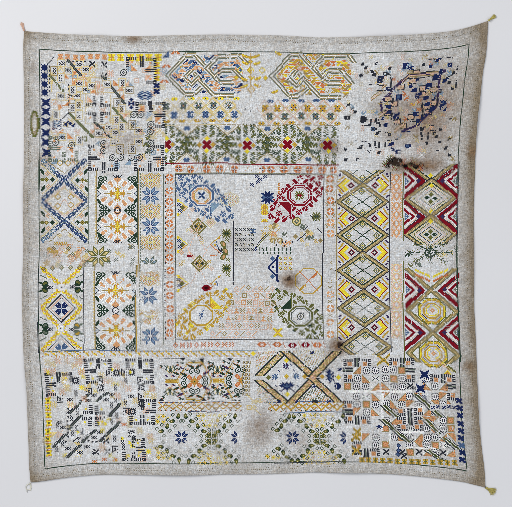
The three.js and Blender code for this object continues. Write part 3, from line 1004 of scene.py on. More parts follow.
FLOWER_SMALL = four_way(".BB. BBBN .BBB .NBB")
STAR_CRIMSON = four_way(".CC.. CCCC. CCCCC .CCCC ..CCC")
YELLOW_DIAMOND = "..Y.. .YYY. YYYYY .YYY. ..Y..".split()
LEAF_CROSS = "G.O..O. .OG.GO. O.GOG.O .OO.OO. O.GOG.O .OG.GO. .O..O.G".split()
ORANGE_BLOOM = "..oo.oo.. .oo.o.oo. ooo...ooo .oo.o.oo. ..oo.oo..".split()
WEDGE_DOWN = "aaaaaaa .oaoao. ..aao.. ...a...".split()
GOLD_LEAF = ".....yY. ..yyYYy. yYYyyy.. .yyy....".split()
LANTERN = left_and_right("...y ..y. .y.Y y.Yy y.yY .y.y ..yY ...y")
# An interlaced knot of two bands, from its left tip: each run is a list of turning points.
KNOT_RUNS = (
    ((0, 0), (19, -21), (29, -21), (53, 6)), ((0, 0), (18, 20), (26, 20), (36, 11)),
    ((25, -5), (36, 8), (48, 21), (68, 21)), ((42, -8), (52, -20), (76, -20), (81, -13)),
    ((17.5, 3), (24.5, -5)), ((17.5, 3), (24.5, 9.5), (31, 3)), ((50, 0), (56, -5), (69, -5), (80, 7)),
    ((55, 7), (68, 7)),
)
SPRIG = "N..N. NN.NN .NNNN ..NN. N...N".split()
SPRAY_LEAF = "..N.. .NNN. NNNNN .NNN. ..N..".split()
CURL = ".NNNN. NN..NN N...NN N.N.N. .NN.N. ....N.".split()
DARTS = "N.N. .N.N N.N. ...N".split()
SPRAY_WEDGE = ["." * (11 - k) + "B" * k + "N" for k in range(12)]
FOUR_PETALS = four_way("NN.. NBN. .NBN ..NN")
OLIVE_TILE = four_way(
    "........O .......Ot ......OtO .....Ot.t ....Ot.tO ...Ot.tyt ..Ot.tyO. .Ot.OkOty OtOtOkkOy"
)
CROSS_SPRIG = four_way(".O..O .OO.O O.OOO .OOGO OOGGG")
BOLD_CROSS = four_way("YY... yYYy. .yYYo ..YYY ...oY")
GOLD_SQUARE = four_way("y.yY .YyY yYoy YyyY")
ROW_TILES = (
    "..t.. .t.t. t...t .t.t. ..t..", "t.... .t... ..t.. ...t. ....t", "ttttt t...t t.t.t t...t ttttt",
    "t...t .t.t. t.t.t .t.t. t...t", "..t.. .ttt. ..t.. .ttt. ttttt", "t..t. .t..t t..t. .t..t t..t.",
)

SLATE_LINK = ".BBN.. BgwNB. NBBwgN .wNBBN ..gBNB ...NB.".split()
GOLD_LINK = "yY..... YYYy... .oYYyw. .y.oYYY ..Yw.oY ..YYy.o ...YYYy".split()
OPEN_RING = "..yt.. .y..y. t....y y....t .y..y. ..ty..".split()
OLIVE_RING = "..O.. .OyO. OyGyO .OyO. ..O..".split()
GREEN_LEAF = "GG... GGG.. .GGG. .GGG. ..GG. ...G.".split()
SEED_ROW = "y.yy.y.yy.y.y .y.y.oy.o.y.y y.y.y.y.yy.y.".split()
SPRAY_LEAVES = tuple(
    leaf.split() for leaf in (
        "NNN... NNNN.. .NNNN. N.NNN. NN..N. .NN..N", ".NN.N. NNN.NN .N.NNN NN.NN. .NNN.. N.N...",
        "N.NN.. .NNN.N N.N.NN NN.N.. ..NNN. .N..N.", ".BB... BBNN.. .NNNN. ..NNNN .N.NN. NN..B.",
    )
)
STRAND_HALF_WIDTH = 4.8
SPRAY_HALF_LENGTH = 37.0
SPRAY_HALF_WIDTH = 16.0
LEAF_PITCH = 6.6
SLANT = math.sqrt(0.5)
# What fills the knots.
KNOT_SEEDS = tuple(
    seed.split() for seed in (
        "aaaaaa .aaaa. ..aa.. YYY.YY YYYYYY", "yyy.aa yyyy.a .yyyy. a.yyyy aa.yyy",
        "BBBB.. BBBb.B .BBbbB B.BBBb BB.BBB", "..aa.. .aaaa. aaaaaa ...... yyYyyY",
        "yYyYyY yyYyy. k.yyk. kkkkk. .kkk.y", "kkk.BB kkkk.B .kkkk. YY.kkk YYY.kk",
        "aaaaaa ...... YYYYYY .yyyy. ..yy..", "B.BBBB BBBBB. .BBBB. aa.BB. aaa.BB",
    )
)
# How far the outer lines of a band stand from its middle, and how full the hatching is.
BAND_LINES = 2.2
HATCH_SHARE = 0.62
WREATH_LEAVES = tuple(
    leaf.split() for leaf in (
        "OO.O. OOO.. .OOOO O.GGO ..O.G", ".GG.. GOOG. .OOO. GO.OO .G..O", "O.OO. .OOO. GG.OO .GG.. O..GO",
        "..OO. G.OOO GG.O. .OO.. OO.GG",
    )
)
GREEN_TILE = four_way("...O ..O. .O.g OgsY")
PINK_RING = "...C... ..CkC.. .Ck.kC. Ck.p.kC .Ck.kC. ..CkC.. ...C...".split()
SCROLL_BLOOM = four_way(".oo..... ooao...o oaaoo..y .oaao.ya ..oooyoy ....yoyy ...yoyyG")
SCROLL_BUD = left_and_right("G..g... .G.gs.G ..Ggs.G G.Gwsgg .GgwwgG ..gswGG ...sggG ....sGp .....pa")
DARK_LEAF = "...OG. .OOOGG OOsOOk .OOOG.".split()
SMALL_BLOOM = "s.O.s .yYs. OYoYO .sYy. s.O.s".split()
COMB_FILLED = "kkk.k.k.k ..k.k.k.k kkk.k.k.k ....oaaa. kkk.aaoa. ..k.aota. kkk.aaao.".split()
RINGED_BOX = ".k.k.k. kwwwwwk .wkwkw. kwkwkwk .wkwkw. kwwwwwk .k.k.k.".split()
PLAIN_BOX = "gwwwwwg wkwwwkw wwkwkww wkwwwkw gwwwwwg".split()
TWO_TONE_TRIANGLE = "t....... at...... aat..... oaot...w aaaat..w atoaat.w aaaaaatw toaatoat".split()
BROWN_BOX = "ttttttt taoaoat toaaaot taaoaat toaaaot taoaoat ttttttt".split()
# The south-east block's columns on the table grid, and its rows with their tiles.
DENSE_COLUMNS = (348, 357, 366, 375.5, 386, 394, 402, 410, 418.5, 427, 435, 443, 451)
DENSE_ROWS = (
    (362.0, "1 V 2 . . 1 V 2 . . . . ."), (370.0, "H b D D D D S H . . . . ."),
    (378.5, "3 D a d D S D 4 . D 1 V 2"), (386.5, "S D D b a D D x . a D b H"),
    (396.5, ". D d a c D b D e . D c 3"), (404.0, "1 D S D D a D c D . e D a"),
    (412.0, "H c D a e D 4 V 3 b D . ."), (420.5, "3 V 2 . D b 2 V 1 e c D S"),
    (428.5, ". . . . S d 3 D 4 D a D S"), (437.0, ". . c D . D a D b D D b e"),
    (445.0, ". 1 . D S . . D e D S d D"), (452.5, ". H V 2 x . x S x b D x b"),
)
DENSE_TILES = {
    "1": (COMB_FILLED, ""), "2": (COMB_FILLED, "h"),
    "3": (COMB_FILLED, "v"), "4": (COMB_FILLED, "hv"),
    "a": (TWO_TONE_TRIANGLE, ""), "b": (TWO_TONE_TRIANGLE, "h"), "c": (TWO_TONE_TRIANGLE, "v"),
    "e": (TWO_TONE_TRIANGLE, "hv"), "D": (RINGED_BOX, ""), "d": (PLAIN_BOX, ""), "S": (BROWN_BOX, ""),
    "x": (BIG_CROSS, ""),
}
BORDER_CHAIN = (
    "oo.aaoaa.oo .oaoo.ooao. a.oo...oo.a .ooo.w.ooo. a.oo...oo.a .oaoo.ooao. oo.aaoaa.oo "
    ".o..ooo..o. o.a..o..a.o"
).split()
BLUE_CORNER = "B... BB.. bwB. BBBB bwB. BB.. B...".split()
SMALL_TILE = "..O.. .OyO. OyOyO .OyO. ..O..".split()

COMB_DARK = (
    "kkk..k.k.k kk.k.k.k.k kkkk.k.k.k .......... kkkk..sY.. ......YY.. kkkk...... ......s... "
    "kkkk......"
).split()
RING_DOTS = "k.k.k.k .kkkkk. kk...kk .k.k.k. kk...kk .kkkkk. k.k.k.k".split()
BEIGE_TILE = "kkkkkkk kpppppk kpspppp kpptppp kpppspk kkk.kkk".split()
HALF_LINK = "kkkkkk k..... k.kk.. k..k.k k.kk.. kk.... k....k".split()
HEART_SCROLL = left_and_right("..GGG. .G...G G..G.G G.G..G G..GG. .GG...")
LONG_LEAF = "Go..... .GGoG.. ..GGGGo ....GGG".split()
LEAF_CURL = ".Gg. G..g G.g. .g..".split()
NAVY_PETALS = four_way("...N... ...NN.. ...NBN. NNN.NN. .NBN.N. ..NNN.. .......")
OLIVE_HEART = four_way("...O.O. ..OsOO. .OGOOG. OsOOGO. .OOGsO. O.GOOg. ......g")
NAVY_BLOOM = (
    "...N...N...N... .N.NN.NNN.NN.N. ..NNNNNBNNNNN.. NNNNBNNBNNBNNNN .NNNNBBBBBNNNN. ..N.NNNBNNN.N.. "
    "....NNNNNNN.... ...NN.NNN.NN... ..N....N....N.. .......N......."
).split()
NAVY_TUFT = "..NN.N NN.NN. .NBBN. NNBNNN .N.NN. N..N..".split()
SPLASH = "....a.a .a..aa. ..a.a.o a..aao. .aaa.a. ..o.a.a a..a..a".split()


def draw_links(chart, runs, link, pitch, swap_at=None):
    """Bands of one link after another along slanting runs; swap_at gives a place's faded silks."""
    for x0, y0, x1, y1 in runs:
        count = max(1, round(abs(y1 - y0) / pitch))
        flip = "h" if (x1 - x0) * (y1 - y0) < 0 else ""
        for k in range(count):
            share = (k + 0.5) / count
            x, y = x0 + (x1 - x0) * share, y0 + (y1 - y0) * share
            chart.stamp(x, y, link, swap_at(x, y) if swap_at else None, flip)


def draw_band_line(chart, x0, y0, x1, y1, silks, core):
    """A band of two double lines with a core of another silk between them."""
    steep = abs(y1 - y0) > abs(x1 - x0)

    def beside(away, letter, kind=CROSS):
        dx, dy = (away, 0) if steep else (0, away)
        chart.line(x0 + dx, y0 + dy, x1 + dx, y1 + dy, letter, kind)

    reach = math.ceil(BAND_LINES + 1.2)
    for away in range(-reach, reach + 1):
        beside(away, ".")
    beside(-BAND_LINES, silks[0])
    beside(1 - BAND_LINES, silks[1], FINE)
    beside(0, core, FINE)
    beside(BAND_LINES - 1, silks[1], FINE)
    beside(BAND_LINES, silks[0])


def draw_wreath(chart, x, y):
    """A ring of olive leaves about a crimson star."""
    for radius, count in ((11.8, 9), (16.0, 13), (20.0, 17)):
        for k in range(count):
            turn = 2 * math.pi * (k + 0.5) / count
            dx, dy = radius * 1.02 * math.cos(turn), radius * 0.94 * math.sin(turn)
            flip = ("h" if dx < 0 else "") + ("v" if dy < 0 else "")
            swap = {"G": "g"} if (k + count) % 3 else {"O": "g"}
            chart.stamp(x + dx, y + dy, WREATH_LEAVES[(k + count) % len(WREATH_LEAVES)], swap, flip)


def draw_edged_strand(chart, x0, y0, x1, y1, letters):
    """A slanted strand of mixed silks between two dark outlines."""
    half = STRAND_HALF_WIDTH
    (start_x, start_y), (end_x, end_y) = on_chart(x0, y0), on_chart(x1, y1)
    top, bottom = sorted((round(start_y), round(end_y)))
    for row in range(top, bottom + 1):
        middle = start_x + (end_x - start_x) * (row - start_y) / (end_y - start_y)
        left, right = math.floor(middle - half), math.floor(middle + half)
        for column in range(left, right + 1):
            if column in (left, left + 1, right - 1, right):
                chart.square(column, row, "k" if row % 3 else "G")
            else:
                chart.square(column, row, letters[int(chart.random.random() * len(letters))])


def draw_hatch(chart, corners, letters):
    """Fine slanted hatching inside a triangle of places."""
    (ax, ay), (bx, by), (cx, cy) = (on_chart(*place) for place in corners)
    area = (bx - ax) * (cy - ay) - (cx - ax) * (by - ay)
    for row in range(math.floor(min(ay, by, cy)), math.ceil(max(ay, by, cy))):
        for column in range(math.floor(min(ax, bx, cx)), math.ceil(max(ax, bx, cx))):
            x, y = column + 0.5, row + 0.5
            first = ((bx - x) * (cy - y) - (cx - x) * (by - y)) / area
            second = ((cx - x) * (ay - y) - (ax - x) * (cy - y)) / area
            inside = min(first, second, 1 - first - second) > 0
            if inside and (2 * column + row) % 5 < 3 and chart.random.random() < HATCH_SHARE:
                chart.square(column, row, letters[(column // 3 + row // 2) % len(letters)], FINE)


def draw_frame_line(chart):
    """The thin dark green line round the whole work."""
    left, top, right, bottom = 39.5, 52.5, 456.1, 462.0
    corners = ((left, top), (right, top), (right, bottom), (left, bottom))
    for (c0, r0), (c1, r1) in zip(corners, corners[1:] + corners[:1], strict=True):
        steps = int(max(abs(c1 - c0), abs(r1 - r0)))
        for k in range(steps):
            share = k / steps
            chart.square(int(c0 + (c1 - c0) * share), int(r0 + (r1 - r0) * share), "G", FINE)


def draw_double_bar(chart, x0, y0, x1, y1, apart, letter="k"):
    """Two lines of satin stitch side by side, along an upright or a level bar."""
    for step in (-apart, apart):
        if x0 == x1:
            chart.line(x0 + step, y0, x1 + step, y1, letter, SATIN_DOWN)
        else:
            chart.line(x0, y0 + step, x1, y1 + step, letter, SATIN_ACROSS)


def draw_comb_figure(chart, x, y, corners, bars, swap=None):
    """Comb corners round a cross of doubled bars; corners and bars name which are there."""
    for flip, dx, dy in (("", -10, 8), ("h", 10, 8), ("v", -10, -8), ("hv", 10, -8)):
        if flip in corners:
            chart.stamp(x + dx, y + dy, COMB_CORNER, swap=swap, flip=flip)
    dark = swap.get("k", "k") if swap else "k"
    for side in bars:
        if side in "ns":
            start = y + (-14 if side == "n" else 4)
            draw_double_bar(chart, x, start, x, start + 10, 1, dark)
        else:
            start = x + (-15 if side == "w" else 4)
            draw_double_bar(chart, start, y, start + 11, y, 1, dark)


def draw_north_west(chart):
    """The north-west block: bars, crosses and combs in an apricot trellis."""
    for y in (68, 76, 84, 92):
        chart.stamp(44.4, y, STAR_SMALL)
    for y in (102, 112, 122, 133, 142.5, 152):
        chart.stamp(46.4, y, STAR_LARGE)
    faded = {"Y": "a", "y": "o", "o": "a", "s": "p"}
    for x in (60, 67.5, 75, 82.5, 90, 97.5, 105):
        chart.stamp(x, 57, X_SMALL, swap=faded)
    for x in (111.2, 120.6, 130.4, 140, 149, 158.3):
        chart.stamp(x, 57.4, X_SQUARE)
    for y in (64.5, 71.2, 78.2):
        chart.stamp(157.3, y, X_SMALL)
    for y in (85, 91.5):
        chart.stamp(157, y, NAVY_SQUARE)
    chart.stamp(57.2, 124, NAVY_CHECK)
    chart.stamp(70, 124.5, NAVY_SPRIG)
    trellis = (
        (52, 66, 52, 92), (69, 84, 69, 112), (78, 78, 110, 78), (69, 92, 118, 92),
        (84, 68, 84, 76), (86, 95, 86, 124), (111, 95, 111, 137), (120, 92, 120, 112),
        (88, 124, 124, 124), (96, 137, 124, 137), (124, 90, 124, 137), (52, 100, 68, 100),
    )
    for x0, y0, x1, y1 in trellis:
        chart.line(x0, y0, x1, y1, "s", FINE)
    triangles = (
        (66, 76, ""), (79, 68, "h"), (75, 84, "v"), (81, 85, "hv"), (90, 99, ""), (88, 84, ""),
        (93, 90, "h"), (100, 88, "v"), (61.5, 108, "v"), (67, 103, "h"), (97, 127, ""),
        (104, 126, "h"), (108, 132, "v"), (93, 133, "v"), (116, 83, ""), (121, 97, "h"),
        (126, 116, "v"), (134, 68, ""), (147.5, 68, "h"), (148, 78, "v"), (141, 108, "h"),
        (158, 120, "v"), (126, 84, "h"), (118, 131, ""), (90, 70, "v"), (72, 97, "h"),
        (60, 132, "h"), (70, 136, ""), (60, 149, "v"), (70, 150, "hv"), (75, 74, "v"),
    )
    for k, (x, y, flip) in enumerate(triangles):
        swap = {"a": "p", "o": "a"} if k % 3 == 1 else None
        chart.stamp(x, y, TRIANGLE, swap=swap, flip=flip)
    bars = (
        (67, 59.5, 80, 75.5), (49.5, 76, 63, 91), (69, 94.5, 81, 109), (69, 113, 92, 137),
        (102, 76, 124, 104), (112.5, 107, 124.5, 122.5), (95, 123, 109.5, 137),
    )
    for k, (x0, y0, x1, y1) in enumerate(bars):
        chart.bar(x0, y0, x1, y1, "g", 3, edge="k" if k % 2 == 0 else "O")
    crosses = (
        (61.7, 63.5), (79.5, 64), (68.5, 70.2), (85.7, 70), (79.6, 83.2), (86.5, 90), (61, 96.5),
        (129.5, 90.4), (109, 127.7), (99, 132.8), (116, 132.8), (77, 96), (92, 86), (62, 137),
        (139, 131), (139, 142), (115, 142), (107, 84),
    )
    downs = (
        (61, 78), (54.5, 71), (117.5, 103), (122.4, 109.6), (116.5, 120.2), (122.3, 127.3),
        (132.5, 125), (120, 149), (132.5, 149), (122.5, 83.4), (79.5, 140), (56, 114.6),
        (72.6, 108.3), (79, 105.4), (73.3, 89.6), (79, 115.3),
    )
    for places, tile, mark in ((crosses, TILE_BOX, TWO_CROSSES), (downs, TILE_TALL, TWO_DOWN)):
        for x, y in places:
            across, down = len(tile[0]) / 2, len(tile) / 2
            chart.clear(x - across, y - down, x + across, y + down)
            chart.stamp(x, y, tile, swap={"s": "t"} if int(x) % 3 == 0 else None, kind=FINE)
            chart.stamp(x, y, mark)
    chart.scatter(BIG_CROSS, ((92.3, 64.7), (104.5, 64.5), (104.3, 76)))
    rings = (
        (124, 73), (134, 115), (141, 115), (151, 124), (151, 131), (151, 143), (151, 149.5),
        (104, 143), (104, 150), (113, 157.8), (121, 158), (131.8, 158), (140, 157.5), (56, 142),
        (72, 146),
    )
    chart.scatter(LEAF_RING, rings)
    for flip, x, y in (("h", 91.5, 101.8), ("", 105.8, 101.8), ("hv", 91.5, 117), ("v", 105.8, 117)):
        chart.stamp(x, y, COMB_CORNER, flip=flip)
    draw_comb_figure(chart, 141.5, 70.5, ("v", "hv", "h"), "ne")
    draw_comb_figure(chart, 150.5, 115, ("v", "hv", "h"), "ne")
    draw_comb_figure(chart, 103.5, 158, ("v", "", "h"), "ws")
    draw_comb_figure(chart, 149.5, 158, ("", "h", "hv"), "es")
    draw_comb_figure(chart, 63.5, 148.5, ("v", "", "h"), "ws", {"k": "g"})
    chart.stamp(131, 104, FISH)
    chart.stamp(145, 96, BLUE_WREATH)
    chart.stamp(85, 139, SQUARE_RING, swap={"k": "O"})
    for y in range(66, 92, 4):
        chart.line(49.5, y, 49.5, y + 1.5, "k")
    for y in range(84, 114, 4):
        chart.line(68.5, y, 68.5, y + 1.5, "k")
    for x in (57, 61, 65, 72, 76, 80, 84):
        chart.line(x, 61.5, x + 1.5, 61.5, "k")
    chart.line(47, 64, 53.5, 57.5, "k")
    chart.line(67.5, 113, 62.5, 118, "k")
    chart.faded(50, 60, 166, 168, "sapbs", (TRIANGLE, LEAF_CROSS, SPLASH, SQUARE_RING), 90)
    chart.wear(50, 55, 112, 160, 0.1)
    chart.wear(105, 124, 148, 158, 0.3)


def trellis_runs(left, middle, right, rows):
    """The slanting runs of a trellis between a column's sides and its middle, row by row."""
    runs = []
    for k, (start, end) in enumerate(zip(rows, rows[1:], strict=False)):
        for side in (left, right):
            inward, outward = (side, start, middle, end), (middle, start, side, end)
            runs.append(outward if k % 2 else inward)
    return runs


def draw_slate_lattice(chart):
    """West column: a slate blue trellis with a diamond, and green leaves at its sides."""
    middle, left, right = 64.2, 42.0, 86.0
    upper, centre, lower = 180.0, 201.0, 222.0
    runs = trellis_runs(left, middle, right, (160, upper, centre, lower, 242))
    paler = {"N": "B", "B": "b"}

    def faded_at(x, y):
        return paler if x < 57 and (y < 176 or y > 224) else None

    draw_links(chart, runs, SLATE_LINK, 4.2, faded_at)
    chart.wear(40, 158, 62, 174, 0.3)
    chart.wear(40, 226, 60, 244, 0.35)
    chart.ring(middle, centre, 18.5, 15.0, "p", FINE)
    chart.ring(middle, centre, 16.5, 13.2, "s", FINE)
    for dx in (-7.0, 6.0):
        for dy in (-4.2, 4.2):
            chart.stamp(middle + dx, centre + dy, OPEN_RING)
    chart.line(middle - 4, centre + 3, middle, centre - 2, "p")
    chart.line(middle, centre - 2, middle + 4, centre + 3, "p")
    for y in (upper, lower):
        for side, edge, flip in ((1, left - 0.5, ""), (-1, right + 1.5, "h")):
            tip = edge + side * 16
            chart.line(edge, y - 15, tip, y, "s")
            chart.line(edge, y + 15, tip, y, "s")
            chart.line(edge, y - 17, tip + side * 2, y, "g", FINE, 3)
            chart.line(edge, y + 17, tip + side * 2, y, "g", FINE, 3)
            chart.stamp(edge + side * 10.5, y, GREEN_DIAMOND)
            chart.stamp(edge + side * 5, y, OLIVE_RING)
            chart.stamp(edge + side * 1, y, GREEN_DIAMOND[1:4], swap={"G": "O"})
            chart.stamp(edge + side * 1.5, y - 8.5, GREEN_LEAF, flip=flip)
            chart.stamp(edge + side * 1.5, y + 8.5, GREEN_LEAF, flip=flip + "v")
            for dy in (-6.5, 6.5):
                chart.stamp(edge + side * 6.5, y + dy, RING_DIAMOND, swap={"y": "a", "Y": "t"})
    for dx in (-3.8, 4.2):
        chart.stamp(middle + dx, 163.5, OPEN_RING)
        chart.stamp(middle + dx * 1.4, 236, RING_DIAMOND, swap={"y": "s", "Y": "y"})
    for side in (-1, 1):
        chart.line(middle + side * 17, 160, middle, 174, "t", FINE)
        chart.line(middle + side * 15, 242, middle, 229, "t", FINE, 4)
    chart.stamp(60.5, 243.5, SEED_ROW)
    chart.line(88.6, 172, 88.6, 243, "g", FINE)
    chart.line(39.0, 160, 39.0, 268, "g", FINE)
    chart.wear(41, 176, 88, 226, 0.05)


def draw_gold_lattice(chart):
    """West column: a twisted gold trellis with a navy star in its diamond."""
    middle, left, right = 61.3, 41.5, 81.0
    upper, centre, lower = 287.0, 308.0, 329.0
    runs = trellis_runs(left, middle, right, (267, upper, centre, lower, 350))
    draw_links(chart, runs, GOLD_LINK, 4.9)
    for y in (upper, lower):
        chart.clear(middle - 3.5, y - 3.5, middle + 3.5, y + 3.5)
        chart.stamp(middle, y, SQUARE_RING, swap={"k": "w", "w": "k"})
    for y in (centre, 350):
        chart.ring(middle, y, 14.0, 14.0, "k", FINE)
        chart.ring(middle, y, 11.0, 11.0, "p", FINE)
    for x, y in ((47, centre), (76, centre), (middle, 298), (middle, 319)):
        chart.line(x - 1, y, x + 1, y, "k", FINE)
    chart.stamp(middle, centre, STAR_EIGHT)
    chart.clear(38, 351, 90, 366)
    chart.stamp(middle, 347, STAR_EIGHT[:7], swap={"N": "B"})
    chart.line(42, 351.5, 79, 351.5, "g", FINE)
    greens = ((44, upper, "h", {"O": "G", "s": "O"}), (44, lower, "h", {"O": "G", "s": "g"}),
              (79, upper, "", {"O": "G", "s": "O"}), (78.5, lower, "", {"O": "g", "s": "y"}))
    for x, y, flip, swap in greens:
        inward = 6 if "h" in flip else -6
        chart.stamp(x, y - 3.5, LEAF_PAIR, swap=swap, flip=flip)
        chart.stamp(x, y + 3.5, LEAF_PAIR, swap=swap, flip=flip + "v")
        chart.stamp(x + inward, y, TWO_CROSSES)
        chart.line(x + inward * 0.4, y - 9, x - inward * 0.6, y - 12, "g")
        chart.line(x + inward * 0.4, y + 9, x - inward * 0.6, y + 12, "g")
    chart.line(38.7, 268, 38.7, 352, "k", FINE)
    chart.line(84.0, 268, 84.0, 352, "k", FINE)
    chart.faded(41, 246, 86, 266, "sOagytpg", (LEAF_LONG, RING_DIAMOND, SCROLL_CORNER, DARTS), 34)
    for x in (44, 53, 62, 71, 80):
        chart.stamp(x, 268, RING_DIAMOND, swap={"y": "O", "Y": "y"})
    chart.wear(41, 245, 84, 266, 0.25)


def draw_rosettes(chart):
    """West column: orange rosettes on gold crosses, between dark green scrolls."""
    pairs = ((176, 243, 193.6, 210.5, 227), (272, 350, 290.8, 310.8, 331))
    for top, bottom, upper, middle, lower in pairs:
        centre = 117.3 if top < 200 else 115.7
        left, right = centre - 19.5, centre + 19.5
        for y in (upper, lower):
            chart.stamp(centre, y, ROSETTE, swap={"s": "w"})
            for side, flip in ((-1, ""), (1, "h")):
                chart.stamp(centre + side * 17.8, y, EDGE_DART, flip=flip)
                chart.stamp(centre + side * 18.2, y - 8, GREEN_LEAF, flip=flip + "v")
                chart.stamp(centre + side * 18.2, y + 8, GREEN_LEAF, flip=flip)
        for side, flip in ((-1, ""), (1, "h")):
            chart.stamp(centre + side * 14.5, top + 5.5, SCROLL_CORNER, flip=flip)
            chart.stamp(centre + side * 14.5, bottom - 5.5, SCROLL_CORNER, flip=flip + "v")
            chart.stamp(centre + side * 12.8, middle, SCROLL_BRANCH, flip=flip)
        chart.stamp(centre, middle, CENTRE_RING)
        chart.stamp(centre, top + 1, "k..k.k..k .k.kkk.k. ..kk.kk..".split())
        chart.stamp(centre, bottom - 1, "..kk.kk.. .k.kkk.k. k..k.k..k".split())
        chart.line(left - 0.9, top - 6, left - 0.9, bottom, "t")
        chart.line(left - 2.2, top, left - 2.2, bottom, "s", FINE, 3)
        chart.line(right + 1.5, top - 6, right + 1.5, bottom + 2, "t" if top < 200 else "y")
        chart.line(right + 0.6, top - 6, right + 0.6, bottom + 2, "G", FINE)
    chart.line(138.6, 243, 138.6, 272, "t")
    chart.clear(88, 352.5, 139, 360)
    chart.wear(99, 176, 136, 243, 0.04)
    chart.wear(116, 274, 136, 290, 0.5)
    chart.wear(99, 284, 136, 350, 0.06)
    chart.stamp(98, 256.5, STAR_LEAVES)
    for side in (-1, 1):
        chart.stamp(98 + side * 11, 251, DARTS, swap={"N": "g"})
        chart.stamp(98 + side * 11, 262, DARTS, swap={"N": "g"})
    chart.faded(106, 246, 137, 270, "gsgt", (DARTS, SPRIG), 9)


def draw_blue_flowers(chart):
    """West column: blue flowers between diamonds of pale yellow lace."""
    chart.scatter(FLOWER_EIGHT, ((150.3, 196), (150.3, 227), (149.2, 296), (150, 336)))
    for x, y in ((150.5, 180.5), (150.3, 211.5), (150, 243), (149.5, 279), (149.5, 317)):
        chart.stamp(x, y, LACE_DIAMOND)
        for dx, dy, silks in ((-8, -5, "sa"), (8, 5, "sp"), (-8, 5, "gy"), (8, -5, "yg")):
            chart.stamp(x + dx, y + dy, RING_DIAMOND, swap={"y": silks[0], "Y": silks[1]}, kind=FINE)
    chart.stamp(149.5, 261, FLOWER_EIGHT[:9], swap={"N": "g", "B": "g"})
    chart.line(163.4, 174, 163.4, 344, "g", FINE)
    chart.line(140.2, 174, 140.2, 344, "g", FINE, 3)
    chart.line(175.6, 176, 175.6, 345, "g", FINE)
    chart.wear(140, 304, 162, 348, 0.25)
    chart.wear(140, 176, 162, 300, 0.06)
    flowers = (177, 190, 201.4, 212.5, 223.4, 234.5, 245.6, 257.6, 271, 284.5, 296, 309, 322.5, 333)
    for y in flowers:
        chart.stamp(169.8, y, BORDER_FLOWER, flip="t")
        chart.line(165.5, y + 4.5, 168, y + 6.5, "o", FINE)
        chart.line(174, y + 4.5, 171, y + 6.5, "a", FINE)
        chart.line(165.4, y - 1, 165.4, y + 0.5, "k")
        chart.line(165.4, y + 5, 165.4, y + 6.5, "k")
    chart.wear(165, 176, 175, 345, 0.05)


def draw_knot(chart, x, y, scale, outline, filling):
    """One interlaced knot with its left tip at a place."""
    for row, dy in enumerate(range(-19, 21, 5)):
        for k, dx in enumerate(range(round(5 + abs(dy) * 0.9), 78, 6)):
            seed = KNOT_SEEDS[(row * 5 + k * 3 + (k * k) % 3) % len(KNOT_SEEDS)]
            chart.stamp(x + dx * scale, y + dy * scale, seed, filling, ("", "h", "v")[(row + k) % 3])
    chart.wear(x, y - 22, x + 82, y + 22, 0.06)
    for run in KNOT_RUNS:
        for (x0, y0), (x1, y1) in zip(run, run[1:], strict=False):
            ends = (x + x0 * scale, y + y0 * scale, x + x1 * scale, y + y1 * scale)
            draw_band_line(chart, *ends, outline, "w")


def draw_top_knots(chart):
    """Top: two interlaced knots with a yellow tree between them."""
    draw_knot(chart, 167.5, 75.5, 0.97, "gt", {"y": "B", "Y": "a", "k": "N", "B": "b", "b": "y"})
    draw_knot(chart, 271.5, 76, 1.02, "gt", {"B": "y", "b": "Y", "k": "t", "a": "o"})
    chart.stamp(165.5, 54.5, TRIANGLE, swap={"a": "B", "o": "N"}, flip="h")
    chart.scatter(ORANGE_BLOOM[:3], ((175.6, 53), (166, 66.5), (164.5, 81)))
    tree = (
        (GOLD_LEAF, "", ((256.7, 56), (257.2, 63), (244.6, 86), (258, 79), (275, 92))),
        (GOLD_LEAF, "h", ((245.4, 56.4), (244.8, 63), (256.8, 86), (243.5, 79), (278, 54))),
    )
    for pattern, flip, places in tree:
        chart.scatter(pattern, places, flip=flip)
    for y, pattern in ((58, "y"), (70.5, None), (78, "y"), (89, None)):
        chart.stamp(251, y, LANTERN if pattern is None else WEDGE_DOWN, swap={"a": "y", "o": "Y"})
    chart.scatter(OPEN_RING, ((239.5, 70), (262.5, 70), (251, 70)), {"y": "Y", "t": "y"})
    chart.scatter(SMALL_TILE, ((236, 78), (266, 78), (251, 62)), {"O": "y", "y": "Y"})
    chart.line(250.6, 54, 250.6, 97, "y", FINE)
    chart.wear(205, 52, 242, 62, 0.25)
    chart.wear(322, 88, 352, 98, 0.2)
    chart.wear(166, 53, 350, 97, 0.03)


